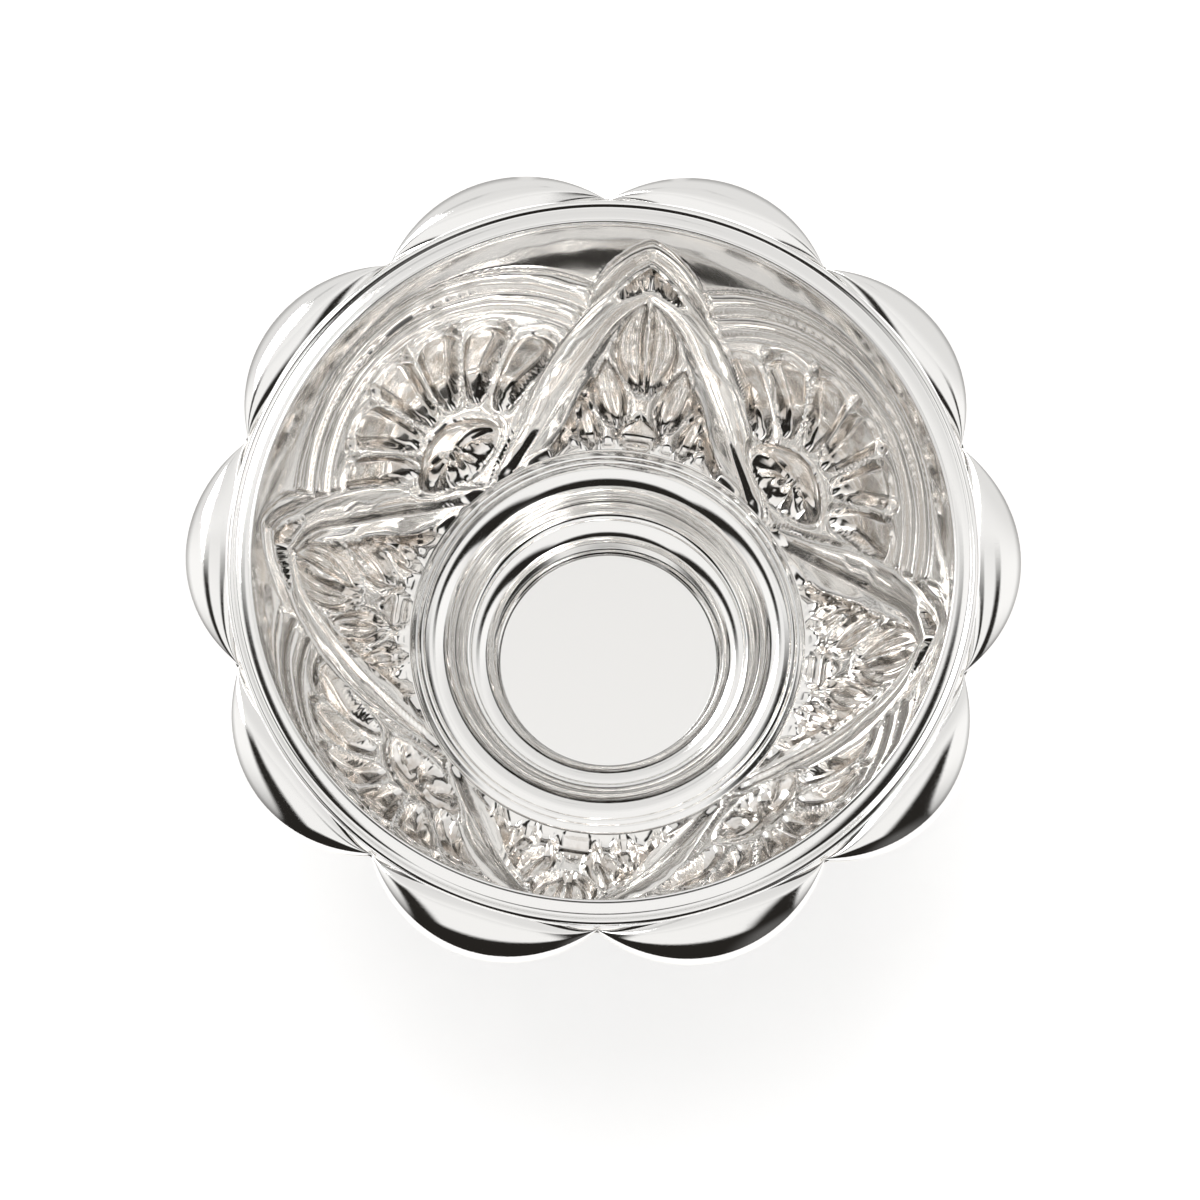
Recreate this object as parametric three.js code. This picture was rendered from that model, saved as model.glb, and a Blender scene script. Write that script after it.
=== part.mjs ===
// Pedestal bowl in polished silver: a deep chased bowl with a stepped well, a border of ten
// turned-down lobes, and a hollow spun foot. Millimetres, +Z up, origin on the table under the
// middle of the foot. Every piece is soldered to its neighbour, so nothing moves.

import * as THREE from 'three';

// Sheet and solder seams
const SEAM = 0.3;               // room that the solder takes between two pieces
const WALL_SHEET = 1.0;         // raised wall of the bowl
const WELL_SHEET = 1.2;         // spun well
const BORDER_SHEET = 1.0;       // lobed border
const FOOT_SHEET = 1.2;         // spun foot

// Foot
const FOOT_RADIUS = 65;         // outside of the rim that stands on the table
const FOOT_RIM_HEIGHT = 3.2;
const FOOT_RIM_WIDTH = 4.8;
const FOOT_HEIGHT = 40;         // table to the top of the foot's flange
const WAIST_RADIUS = 27;        // narrowest place of the stem
const WAIST_HEIGHT = 30;        // above the table
const STEP_RADIUS = 55;         // small step round the spread of the foot
const STEP_HEIGHT = 9;
const COLLAR_RADIUS = 2.2;      // half the thickness of the collar wire

// Well, from the plate in the middle outwards and upwards
const PLATE_RADIUS = 34.2;
const PLATE_THICKNESS = 1.5;
const LEDGE_WIDTH = 3.5;        // ledge that carries the plate
const BEZEL = 0.9;              // little step round the plate
const THROAT_WIDTH = 2.1;       // steep side above the plate
const THROAT_RISE = 7.2;
const ROLL_WIDTH = 5.0;         // round moulding above it
const ROLL_DROP = 3.5;
const HOLLOW_WIDTH = 4.5;       // hollow moulding under the shoulder
const HOLLOW_DROP = 9.2;
const SHOULDER_WIDTH = 7.3;     // broad shoulder, nearly flat above and turned down quickly
const SHOULDER_DROP = 5.5;
const SHOULDER_POWER = 3;       // 2 would be an ellipse, and more is squarer
const QUIRK_WIDTH = 0.4;        // sharp little break between two mouldings
const QUIRK_DROP = 0.4;
const LIP_WIDTH = 6.5;          // from the shoulder's crest out to the wall
const LIP_FALL = 1.0;
const LIP_EDGE = 0.7;           // rounding of the lip's edge
const NECK_DROP = 3.6;          // ring below the lip that centres the well in the wall

// Wall
const WALL_HEIGHT = 97;         // from the wall's foot to its widest level
const CURL_DROP = 1.1;          // the wall's foot turns in this far below its end
const CURL_WIDTH = 3.0;
const BEND_RADIUS = 1.4;        // where the wall turns out under the mouth ring
const FLANGE_WIDTH = 3.9;
const BEAD_RADIUS = 1.6;        // wire over the seam below the wall

// Chased relief, pushed outwards from inside: arches with a daisy between each two of them.
// Heights are shares of the wall's height, and widths are degrees round the bowl.
const ARCHES = 4;
const ARCH_TURN = 82.3;         // from +X to the middle of an arch
const ARCH_TOP = 0.835;
const ARCH_SPREAD = 46;         // half its width at the wall's foot
const ARCH_CURVE = 1.55;
const STRAP_DEPTH = 1.1;
const FIELD_TOP = 0.60;         // sunk field inside the arch's straps
const FIELD_SPREAD = 36;
const FIELD_CURVE = 1.7;
const FIELD_DEPTH = 2.3;
const DAISY_TOP = 0.62;
const DAISY_SPREAD = 33;
const FAN_INSIDE = 0.42;        // share of the daisy's size where its petals begin
const FAN_DEPTH = 1.5;
const EYE_LEVEL = 0.13;
const EYE_SPREAD = 11.5;
const EYE_RISE = 0.10;
const EYE_DEPTH = 2.9;
const FORM_EDGE = 2;            // degrees over which a strap or a field sinks in
const FAN_EDGE = 0.1;           // the same for the fan, as a share of the daisy's size
const EYE_EDGE = 0.6;           // and for the eye, as a share of its own size
const RELIEF_FADE = 0.03;       // the relief starts within this share above the wall's foot

// Mouth ring
const MOUTH_RADIUS = 99.3;
const MOUTH_OVERHANG = 0.2;     // the ring stands this far inside the wall
const RING_WIDTH = 7.1;
const RING_HEIGHT = 2.5;
const RING_FALL = 0.3;          // its rib ends this much lower than the mouth
const RING_BEAD = 0.6;          // radius of the bead round the mouth
const BAND_WIDTH = 2.6;         // band beside the bead
const BAND_FALL = 0.3;          // it falls this much from the bead to the rib
const RIB_RADIUS = 1.1;         // rib along the ring's outer edge
const RIB_END = 30;             // degrees above level, where the rib runs into the band

// Lobed border
const LOBES = 10;
const CUSP_REACH = 0.9;         // from the ring's outer edge to where two lobes meet
const LOBE_REACH = 13.6;        // and to the middle of a lobe
const ROOT_RISE = 0.9;          // the border stands this far up beside the ring
const LAP_WIDTH = 1.8;          // of the border, under the ring
const LOBE_DROP = 4.4;          // from the root down to the edge, in the middle of a lobe
const CUSP_DROP = 2.3;          // and between two lobes
const WIRE_RADIUS = 0.8;        // wire under the edge

// Facets
const ROUND_LARGE = 54;
const WALL_COLUMNS = 96;
const WALL_ROWS = 14;
const ROUND_MIDDLE = 42;
const ROUND_SMALL = 30;
const LOBE_STEPS = 8;

// Levels, from the table up
const ledgeBottom = FOOT_HEIGHT + SEAM;
const ledgeTop = ledgeBottom + WELL_SHEET;
const plateTop = ledgeTop + SEAM + PLATE_THICKNESS;
const throatBottom = plateTop + QUIRK_DROP;
const rollBottom = throatBottom + THROAT_RISE + QUIRK_DROP;
const hollowBottom = rollBottom + ROLL_DROP + QUIRK_DROP;
const hollowTop = hollowBottom + HOLLOW_DROP;
const shoulderBottom = hollowTop + QUIRK_DROP;
const crest = shoulderBottom + SHOULDER_DROP;
const lipSeat = crest - LIP_FALL - LIP_EDGE;
const curlTop = lipSeat - SEAM;
const wallFoot = curlTop + CURL_DROP;
const wallWidest = wallFoot + WALL_HEIGHT;
const flangeTop = wallWidest + BEND_RADIUS;
const ringBottom = flangeTop + SEAM;
const mouthTop = ringBottom + RING_HEIGHT;
const lapTop = flangeTop;
const rootTop = lapTop + ROOT_RISE;

// Radii, from the axis out
const bezelRadius = PLATE_RADIUS + SEAM;
const throatInner = bezelRadius + BEZEL;
const rollInner = throatInner + THROAT_WIDTH;
const hollowInner = rollInner + ROLL_WIDTH + QUIRK_WIDTH;
const shoulderInner = hollowInner + HOLLOW_WIDTH;
const lipOuter = shoulderInner + SHOULDER_WIDTH + LIP_WIDTH;
const neckOuter = lipOuter - CURL_WIDTH;
const wallFootRadius = lipOuter + SEAM;
const wallWidestRadius = MOUTH_RADIUS + MOUTH_OVERHANG;
const flangeOuter = wallWidestRadius + FLANGE_WIDTH;
const ringOuter = MOUTH_RADIUS + RING_WIDTH;
const rootRadius = ringOuter + SEAM;
const cuspRadius = ringOuter + CUSP_REACH;
const lobeRadius = ringOuter + LOBE_REACH;
const stemTop = throatInner + WELL_SHEET;

function silver(color, roughness) {
  return new THREE.MeshStandardMaterial({ color, roughness, metalness: 1 });
}

const polished = silver(0xe9e7e3, 0.08);
const chased = silver(0xdedbd6, 0.16);
const mirror = silver(0xf1f0ee, 0.05);
const wire = silver(0xd9d6d1, 0.14);

const at = (r, z) => new THREE.Vector2(r, z);

// Part of an ellipse round (r, z), from one angle to another, in degrees from +r
function arc(r, z, radiusR, radiusZ, from, to, steps) {
  const points = [];
  for (let i = 0; i <= steps; i += 1) {
    const angle = THREE.MathUtils.degToRad(from + ((to - from) * i) / steps);
    points.push(at(r + radiusR * Math.cos(angle), z + radiusZ * Math.sin(angle)));
  }
  return points;
}

// Moves a smooth line sideways by a distance, to its right as it runs
function offset(points, distance) {
  return points.map((point, i) => {
    const before = points[Math.max(i - 1, 0)];
    const after = points[Math.min(i + 1, points.length - 1)];
    const run = after.clone().sub(before).normalize();
    return at(point.x + run.y * distance, point.y - run.x * distance);
  });
}

// Turns a closed outline in (r, z) round the Z axis
function turned(outline, segments) {
  const counterclockwise = THREE.ShapeUtils.area(outline) > 0;
  const points = counterclockwise ? outline.slice() : outline.slice().reverse();
  points.push(points[0].clone());
  const geometry = new THREE.LatheGeometry(points, segments);
  geometry.rotateX(Math.PI / 2);
  return geometry;
}

// Joins outlines in (r, z), one at each angle, into a closed skin: all the way round the axis,
// or from the first to the last with a flat end at each
function lofted(angles, outlines, allRound) {
  const count = outlines[0].length;
  const positions = [];
  const index = [];
  outlines.forEach((outline, i) => {
    const cos = Math.cos(angles[i]);
    const sin = Math.sin(angles[i]);
    outline.forEach((point) => positions.push(point.x * cos, point.x * sin, point.y));
  });
  const spans = allRound ? outlines.length : outlines.length - 1;
  for (let i = 0; i < spans; i += 1) {
    const next = (i + 1) % outlines.length;
    for (let j = 0; j < count; j += 1) {
      const k = (j + 1) % count;
      index.push(i * count + j, next * count + j, next * count + k);
      index.push(i * count + j, next * count + k, i * count + k);
    }
  }
  if (!allRound) {
    const last = (outlines.length - 1) * count;
    THREE.ShapeUtils.triangulateShape(outlines[0], []).forEach(([a, b, c]) => {
      index.push(a, b, c);
      index.push(last + c, last + b, last + a);
    });
  }
  const geometry = new THREE.BufferGeometry();
  geometry.setAttribute('position', new THREE.Float32BufferAttribute(positions, 3));
  geometry.setIndex(index);
  geometry.computeVertexNormals();
  return geometry;
}

// Heavy ring that the foot stands on, flat below and rounded outside
function footRim() {
  const inner = FOOT_RADIUS - FOOT_RIM_WIDTH;
  const round = FOOT_RIM_HEIGHT / 2;
  return turned([
    at(inner, 0),
    ...arc(FOOT_RADIUS - round, round, round, round, -90, 90, 4),
    at(inner, FOOT_RIM_HEIGHT),
  ], ROUND_MIDDLE);
}

// Outside of the foot, from its flange down the stem and out to the rim
function footLine() {
  const base = FOOT_RIM_HEIGHT + SEAM;
  const flangeBottom = FOOT_HEIGHT - FOOT_SHEET;
  const stem = new THREE.QuadraticBezierCurve(
    at(stemTop - FOOT_SHEET, flangeBottom),
    at(WAIST_RADIUS, flangeBottom),
    at(WAIST_RADIUS, WAIST_HEIGHT),
  );
  const spread = new THREE.CubicBezierCurve(
    at(WAIST_RADIUS, WAIST_HEIGHT),
    at(WAIST_RADIUS, (WAIST_HEIGHT + STEP_HEIGHT) / 2),
    at((WAIST_RADIUS + STEP_RADIUS) / 2, STEP_HEIGHT + QUIRK_DROP),
    at(STEP_RADIUS, STEP_HEIGHT + QUIRK_DROP),
  );
  const skirtInner = STEP_RADIUS + QUIRK_WIDTH;
  const skirtWidth = FOOT_RADIUS - FOOT_SHEET - skirtInner;
  const skirt = arc(skirtInner, base, skirtWidth, STEP_HEIGHT - base, 90, 0, 3);
  return [...stem.getPoints(4), ...spread.getPoints(6).slice(1), ...skirt];
}

// Hollow foot: a flange under the well, a waisted stem, and a spread with one small step
function foot() {
  const outside = footLine();
  const inside = offset(outside, FOOT_SHEET);
  inside[inside.length - 1].y = outside[outside.length - 1].y;
  return turned([
    at(stemTop, FOOT_HEIGHT),
    at(stemTop, FOOT_HEIGHT - FOOT_SHEET),
    ...outside,
    ...inside.reverse().slice(0, -1),
    at(inside[inside.length - 1].x, FOOT_HEIGHT),
  ], ROUND_MIDDLE);
}

// Round wire that hides the seam between foot and well
function footCollar() {
  const middle = stemTop + SEAM + COLLAR_RADIUS;
  return turned(arc(middle, ledgeBottom, COLLAR_RADIUS, COLLAR_RADIUS, 0, 360, 6).slice(1), ROUND_SMALL);
}

// Flat plate that closes the bottom of the well
function wellPlate() {
  return turned([
    at(0, plateTop - PLATE_THICKNESS),
    at(PLATE_RADIUS, plateTop - PLATE_THICKNESS),
    at(PLATE_RADIUS, plateTop),
    at(0, plateTop),
  ], ROUND_SMALL);
}

// Mouldings of the well from the shoulder in. The shoulder and the roll start level and end
// upright, and the hollow between them does the opposite. The sheet's thickness comes off the
// radii of a round moulding, and onto those of the hollow, for the side that faces down.
function mouldings(thickness) {
  const shoulder = [];
  for (const point of arc(0, 0, 1, 1, 90, 180, 6)) {
    const across = Math.abs(point.x) ** (2 / SHOULDER_POWER) * (SHOULDER_WIDTH - thickness);
    const up = Math.abs(point.y) ** (2 / SHOULDER_POWER) * (SHOULDER_DROP - thickness);
    shoulder.push(at(shoulderInner + SHOULDER_WIDTH - across, shoulderBottom + up));
  }
  const rollMiddle = rollInner + ROLL_WIDTH;
  return [
    ...shoulder,
    ...arc(hollowInner, hollowTop, HOLLOW_WIDTH + thickness, HOLLOW_DROP + thickness, 0, -90, 4),
    ...arc(rollMiddle, rollBottom, ROLL_WIDTH - thickness, ROLL_DROP - thickness, 90, 180, 4),
  ];
}

// Spun well: a lip on the wall's foot, a shoulder, a hollow, a roll and a steep side, down to the
// ledge that carries the plate. A ring under the lip centres it in the wall.
function wellStep() {
  const neckInner = neckOuter - WELL_SHEET;
  const neckBottom = lipSeat - NECK_DROP;
  const above = [
    ...arc(lipOuter - LIP_EDGE, lipSeat, LIP_EDGE, LIP_EDGE, 0, 90, 2),
    ...mouldings(0),
    at(throatInner, throatBottom),
    at(bezelRadius, plateTop),
    at(bezelRadius, ledgeTop),
    at(bezelRadius - LEDGE_WIDTH, ledgeTop),
  ];
  const below = [
    at(neckOuter, lipSeat),
    at(neckOuter, neckBottom),
    at(neckInner, neckBottom),
    at(neckInner, lipSeat),
    ...mouldings(WELL_SHEET),
    at(stemTop, throatBottom),
    at(stemTop, ledgeBottom),
    at(bezelRadius - LEDGE_WIDTH, ledgeBottom),
  ];
  return turned([...above, ...below.reverse()], ROUND_MIDDLE);
}

// Round wire round the well's neck, below the wall
function seamBead() {
  const middle = neckOuter + SEAM + BEAD_RADIUS;
  const level = curlTop - WALL_SHEET - SEAM - BEAD_RADIUS;
  return turned(arc(middle, level, BEAD_RADIUS, BEAD_RADIUS, 0, 360, 6).slice(1), ROUND_SMALL);
}

// Inside of the wall: an ellipse that stands upright at the widest level and ends at the well
function wallLine() {
  const fall = THREE.MathUtils.radToDeg(Math.acos(wallFootRadius / wallWidestRadius));
  const ellipseHeight = WALL_HEIGHT / Math.sin(THREE.MathUtils.degToRad(fall));
  return arc(0, wallWidest, wallWidestRadius, ellipseHeight, 0, -fall, WALL_ROWS);
}

// Half-width in degrees, at a share of the wall's height, of a form that narrows to a point
const pointed = (share, top, spread, curve) => spread * Math.max(0, 1 - share / top) ** curve;
const ease = THREE.MathUtils.smoothstep;

// How far the relief is pushed outwards, at degrees round the bowl and a share of its height
function relief(degrees, share) {
  const period = 360 / ARCHES;
  const turn = THREE.MathUtils.euclideanModulo(degrees - ARCH_TURN, period);
  const fromArch = Math.min(turn, period - turn);
  const fromDaisy = period / 2 - fromArch;
  const arch = pointed(share, ARCH_TOP, ARCH_SPREAD, ARCH_CURVE) - fromArch;
  const field = pointed(share, FIELD_TOP, FIELD_SPREAD, FIELD_CURVE) - fromArch;
  const reach = Math.hypot(fromDaisy / DAISY_SPREAD, share / DAISY_TOP);
  const eye = 1 - Math.hypot(fromDaisy / EYE_SPREAD, (share - EYE_LEVEL) / EYE_RISE);
  const strap = STRAP_DEPTH * ease(arch, 0, FORM_EDGE);
  const sunk = (FIELD_DEPTH - STRAP_DEPTH) * ease(field, 0, FORM_EDGE);
  const fan = FAN_DEPTH * ease(reach - FAN_INSIDE, 0, FAN_EDGE) * ease(1 - reach, 0, FAN_EDGE);
  const daisy = (fan + EYE_DEPTH * ease(eye, 0, EYE_EDGE)) * ease(-arch, 0, FORM_EDGE);
  return (strap + sunk + daisy) * ease(share, 0, RELIEF_FADE);
}

// Raised wall: its top turns out under the mouth ring, its foot turns in under the well's lip,
// and its relief shows on both faces of the sheet
function wallSection(degrees) {
  const line = wallLine();
  const pushes = line.map((point) => relief(degrees, (point.y - wallFoot) / WALL_HEIGHT));
  const pushed = (thickness) => line.map((point, i) => offset(line, -thickness - pushes[i])[i]);
  const bend = arc(wallWidestRadius + BEND_RADIUS, wallWidest, BEND_RADIUS, BEND_RADIUS, 90, 180, 2);
  return [
    at(flangeOuter, flangeTop - WALL_SHEET),
    at(flangeOuter, flangeTop),
    ...bend.slice(0, -1),
    ...pushed(0),
    at(wallFootRadius, curlTop),
    at(wallFootRadius - CURL_WIDTH, curlTop),
    at(wallFootRadius - CURL_WIDTH, curlTop - WALL_SHEET),
    at(wallFootRadius + WALL_SHEET / 2, curlTop - WALL_SHEET),
    ...pushed(WALL_SHEET).reverse(),
  ];
}

function bowlWall() {
  const angles = [];
  const outlines = [];
  for (let column = 0; column < WALL_COLUMNS; column += 1) {
    const degrees = ARCH_TURN + (360 * column) / WALL_COLUMNS;
    angles.push(THREE.MathUtils.degToRad(degrees));
    outlines.push(wallSection(degrees));
  }
  return lofted(angles, outlines, true);
}

// Moulded wire round the mouth: a bead, a band, and a rib that rises beyond it
function mouthRing() {
  const bandInner = MOUTH_RADIUS + 2 * RING_BEAD;
  const ribMiddle = mouthTop - RING_FALL - RIB_RADIUS;
  return turned([
    at(MOUTH_RADIUS, ringBottom),
    ...arc(MOUTH_RADIUS + RING_BEAD, mouthTop - RING_BEAD, RING_BEAD, RING_BEAD, 180, 0, 4),
    at(bandInner + BAND_WIDTH, mouthTop - RING_BEAD - BAND_FALL),
    ...arc(ringOuter - RIB_RADIUS, ribMiddle, RIB_RADIUS, RIB_RADIUS, 180 - RIB_END, 0, 4),
    at(ringOuter, ringBottom),
  ], ROUND_LARGE);
}

// Plan of one lobe: an arc through both cusps and the lobe's middle, as a radius at an angle
// from that middle, with the sheet's slant to the ray there
const halfLobe = Math.PI / LOBES;
const cuspReach = cuspRadius * Math.cos(halfLobe);
const arcCentre = (lobeRadius ** 2 - cuspRadius ** 2) / (2 * (lobeRadius - cuspReach));
const arcRadius = lobeRadius - arcCentre;

function lobeAt(angle) {
  const side = arcCentre * Math.sin(angle);
  const reach = Math.sqrt(arcRadius ** 2 - side ** 2);
  const radius = arcCentre * Math.cos(angle) + reach;
  const change = -side - (side * arcCentre * Math.cos(angle)) / reach;
  const fullness = (radius - cuspRadius) / (lobeRadius - cuspRadius);
  return {
    radius,
    slant: Math.hypot(1, change / radius),
    edge: rootTop - CUSP_DROP - (LOBE_DROP - CUSP_DROP) * fullness,
  };
}

// Section of the border at an angle from the middle of its lobe: a lap under the ring, then the
// sheet rounding over and down to its edge
function borderSection(angle) {
  const { radius, slant, edge } = lobeAt(angle);
  const under = radius - BORDER_SHEET * slant;
  const lapInner = flangeOuter + SEAM;
  const turnIn = lapInner + LAP_WIDTH;
  const lapBottom = lapTop - BORDER_SHEET;
  return [
    at(lapInner, lapBottom),
    ...arc(turnIn, edge, under - turnIn, lapBottom - edge, 90, 0, 3),
    ...arc(rootRadius, edge, radius - rootRadius, rootTop - edge, 0, 90, 5),
    at(rootRadius, lapTop),
    at(lapInner, lapTop),
  ];
}

// Border of ten lobes in one sheet, pinched where two lobes meet
function lobedBorder() {
  const angles = [];
  const outlines = [];
  for (let lobe = 0; lobe < LOBES; lobe += 1) {
    for (let step = 0; step < LOBE_STEPS; step += 1) {
      const local = halfLobe * ((2 * step) / LOBE_STEPS - 1);
      angles.push(2 * halfLobe * lobe + local);
      outlines.push(borderSection(local));
    }
  }
  return lofted(angles, outlines, true);
}

// Wire under the edge of one lobe, mitred against its neighbours at both cusps
function edgeWire(lobe) {
  const angles = [];
  const outlines = [];
  const reach = halfLobe - SEAM / 2 / cuspRadius;
  for (let step = 0; step <= LOBE_STEPS; step += 1) {
    const local = reach * ((2 * step) / LOBE_STEPS - 1);
    const { radius, slant, edge } = lobeAt(local);
    const across = WIRE_RADIUS * slant;
    const level = edge - SEAM - WIRE_RADIUS;
    angles.push(2 * halfLobe * lobe + local);
    outlines.push(arc(radius - across, level, across, WIRE_RADIUS, 0, 360, 6).slice(1));
  }
  return lofted(angles, outlines, false);
}

const bowl = new THREE.Group();

function add(name, geometry, material) {
  const mesh = new THREE.Mesh(geometry, material);
  mesh.name = name;
  bowl.add(mesh);
}

add('foot_rim', footRim(), polished);
add('foot', foot(), polished);
add('foot_collar', footCollar(), wire);
add('well_plate', wellPlate(), mirror);
add('well_step', wellStep(), polished);
add('seam_bead', seamBead(), wire);
add('bowl_wall', bowlWall(), chased);
add('mouth_ring', mouthRing(), polished);
add('lobed_border', lobedBorder(), polished);
for (let lobe = 0; lobe < LOBES; lobe += 1) {
  add(`edge_wire_${String(lobe + 1).padStart(2, '0')}`, edgeWire(lobe), wire);
}

export default bowl;
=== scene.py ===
# %% [markdown]
# # A chased silver bowl on a spun foot
# The bowl is raised from sheet silver, chased in relief, and soldered to a stepped well, a foot,
# and a border of ten turned-down lobes. The frame that is loaded here holds every piece at its
# real size as a faceted solid. Those solids could be smoothed and shown as they are, but they have
# no fine ornament, so each piece is made anew in the smooth form and polish of the real one.
# Lengths are written in millimetres and turned into metres by MM.

# %% Load the frame
import math

import bmesh
import bpy
import numpy as np
from mathutils import Matrix, Vector


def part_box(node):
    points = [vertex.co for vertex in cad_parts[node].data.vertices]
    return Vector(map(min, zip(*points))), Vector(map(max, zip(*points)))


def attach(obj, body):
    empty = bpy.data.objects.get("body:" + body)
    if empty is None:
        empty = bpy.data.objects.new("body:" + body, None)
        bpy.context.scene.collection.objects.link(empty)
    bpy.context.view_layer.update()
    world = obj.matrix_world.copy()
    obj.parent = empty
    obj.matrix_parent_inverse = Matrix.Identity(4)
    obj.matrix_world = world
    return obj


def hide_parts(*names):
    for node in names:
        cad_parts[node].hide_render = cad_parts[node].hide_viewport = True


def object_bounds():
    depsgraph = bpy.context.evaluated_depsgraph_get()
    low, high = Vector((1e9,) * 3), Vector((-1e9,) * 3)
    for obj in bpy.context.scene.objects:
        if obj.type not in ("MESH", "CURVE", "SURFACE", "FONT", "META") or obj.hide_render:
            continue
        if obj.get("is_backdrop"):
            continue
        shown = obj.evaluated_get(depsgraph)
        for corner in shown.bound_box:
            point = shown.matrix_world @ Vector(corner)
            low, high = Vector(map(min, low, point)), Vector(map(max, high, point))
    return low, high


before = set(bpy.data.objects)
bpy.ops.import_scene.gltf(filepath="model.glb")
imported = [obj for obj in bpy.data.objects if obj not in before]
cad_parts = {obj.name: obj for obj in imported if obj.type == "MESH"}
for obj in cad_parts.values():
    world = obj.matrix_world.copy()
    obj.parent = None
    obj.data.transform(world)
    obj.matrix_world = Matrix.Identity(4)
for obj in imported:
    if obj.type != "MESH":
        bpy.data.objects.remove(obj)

MM = 0.001
cad_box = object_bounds()
print("nodes in the frame:", len(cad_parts))


# %% [markdown]
# ## Sizes from the frame
# Radii and levels come from the boxes of the solids wherever a box can tell them, so that the
# looks follow the construction. A faceted round solid has a corner on at least one half axis,
# so the farthest side of its box gives the radius.

# %% Sizes from the frame
def ring_sizes(node):
    """Outer radius, lowest level and highest level of a round solid, in millimetres."""
    low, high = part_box(node)
    reach = max(high.x, -low.x, high.y, -low.y)
    return reach / MM, low.z / MM, high.z / MM


rim_outer, rim_bottom, rim_top = ring_sizes("foot_rim")
foot_outer, foot_bottom, foot_top = ring_sizes("foot")
plate_radius, plate_bottom, plate_top = ring_sizes("well_plate")
lip_outer, ledge_bottom, _ = ring_sizes("well_step")
flange_outer, curl_bottom, flange_top = ring_sizes("bowl_wall")
ring_outer, ring_bottom, mouth_top = ring_sizes("mouth_ring")
lobe_radius, _, root_top = ring_sizes("lobed_border")

SEAM = 0.3
WALL_SHEET = 1.0
WELL_SHEET = 1.2
BORDER_SHEET = 1.0
FOOT_SHEET = 1.2
MOUTH_RADIUS = 99.3
CURL_WIDTH = 3.0
print("mouth", round(mouth_top, 2), "lip", round(lip_outer, 2), "lobes", round(lobe_radius, 2))


# %% [markdown]
# ## Camera
# The photograph looks down into the bowl from above and a little in front, with a long lens.
# A camera could be turned by hand until the picture fits. Here it is placed by numbers that can
# be checked one by one: its height angle over the middle of the mouth, its distance, and the
# point of the mouth's plane that it looks at. It is turned a few degrees about its own axis.

# %% Camera
IMAGE = 1200
SENSOR = 36
VIEW_HEIGHT_ANGLE = 74.51
VIEW_TURN = 3.96
VIEW_ROLL = -3.53
VIEW_DISTANCE = 1035.5
VIEW_AIM = (-1.39, -13.87)
FOCAL_PIXELS = 3663.7


def look_at_mouth():
    """A camera that sees the bowl as the photograph does."""
    turn = Matrix.Rotation(math.radians(VIEW_TURN), 3, "Z")
    height = math.radians(VIEW_HEIGHT_ANGLE)
    mouth = Vector((0, 0, mouth_top * MM))
    offset = Vector((0, -math.cos(height), math.sin(height))) * VIEW_DISTANCE * MM
    aim = Vector((VIEW_AIM[0], VIEW_AIM[1], 0)) * MM
    forward = (aim - offset).normalized()
    side = forward.cross(Vector((0, 0, 1))).normalized()
    rise = side.cross(forward)
    roll = math.radians(VIEW_ROLL)
    side, rise = (math.cos(roll) * side + math.sin(roll) * rise,
                  math.cos(roll) * rise - math.sin(roll) * side)
    axes = Matrix((turn @ side, turn @ rise, turn @ -forward)).transposed().to_4x4()
    data = bpy.data.cameras.new("camera")
    data.sensor_width = SENSOR
    data.lens = SENSOR * FOCAL_PIXELS / IMAGE
    data.clip_end = 20
    camera = bpy.data.objects.new("camera", data)
    camera.matrix_world = Matrix.Translation(mouth + turn @ offset) @ axes
    bpy.context.scene.collection.objects.link(camera)
    return camera


bpy.context.scene.camera = look_at_mouth()
print("lens", round(bpy.context.scene.camera.data.lens, 1), "mm")


# %% [markdown]
# ## Node trees by code
# Materials, the world and the Geometry Nodes modifiers are all node trees. They could be drawn by
# hand in the node editor, but a script has to build them again each time. This small class adds a
# node, sets its inputs, or links them when the value is another node's socket, so that each tree
# below reads as a list of steps.

# %% A helper for node trees
class Tree:
    """A node tree with short ways to add nodes and links."""

    def __init__(self, tree):
        self.tree = tree

    def node(self, kind, inputs=None, **settings):
        """Adds a node, sets its properties, and sets or links its inputs by name or number."""
        node = self.tree.nodes.new(kind)
        for name, value in settings.items():
            setattr(node, name, value)
        for name, value in (inputs or {}).items():
            self.feed(node.inputs[name], value)
        return node

    def feed(self, socket, value):
        """Links a socket to another node's output, or sets its value."""
        if isinstance(value, bpy.types.NodeSocket):
            self.tree.links.new(value, socket)
        else:
            socket.default_value = value

    def math(self, operation, a, b=0.0, clamp=False):
        """A Math node's result."""
        node = self.node("ShaderNodeMath", {0: a, 1: b}, operation=operation, use_clamp=clamp)
        return node.outputs[0]

    def plus(self, a, b):
        return self.math("ADD", a, b)

    def minus(self, a, b):
        return self.math("SUBTRACT", a, b)

    def times(self, a, b):
        return self.math("MULTIPLY", a, b)

    def spread(self, value, low, high, to_low=0.0, to_high=1.0):
        """The value between low and high, eased, as a value between to_low and to_high."""
        node = self.node("ShaderNodeMapRange", interpolation_type="SMOOTHSTEP")
        for name, item in zip(("Value", "From Min", "From Max", "To Min", "To Max"),
                              (value, low, high, to_low, to_high)):
            self.feed(node.inputs[name], item)
        return node.outputs["Result"]

    def noise(self, vector, scale, detail=2.0, rough=0.5):
        """A Noise Texture's value."""
        inputs = {"Vector": vector, "Scale": scale, "Detail": detail, "Roughness": rough}
        return self.node("ShaderNodeTexNoise", inputs).outputs["Fac"]

    def blend(self, factor, a, b):
        """One colour going over into another."""
        node = self.node("ShaderNodeMix", data_type="RGBA")
        self.feed(node.inputs[0], factor)
        self.feed(node.inputs[6], a)
        self.feed(node.inputs[7], b)
        return node.outputs[2]


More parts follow.
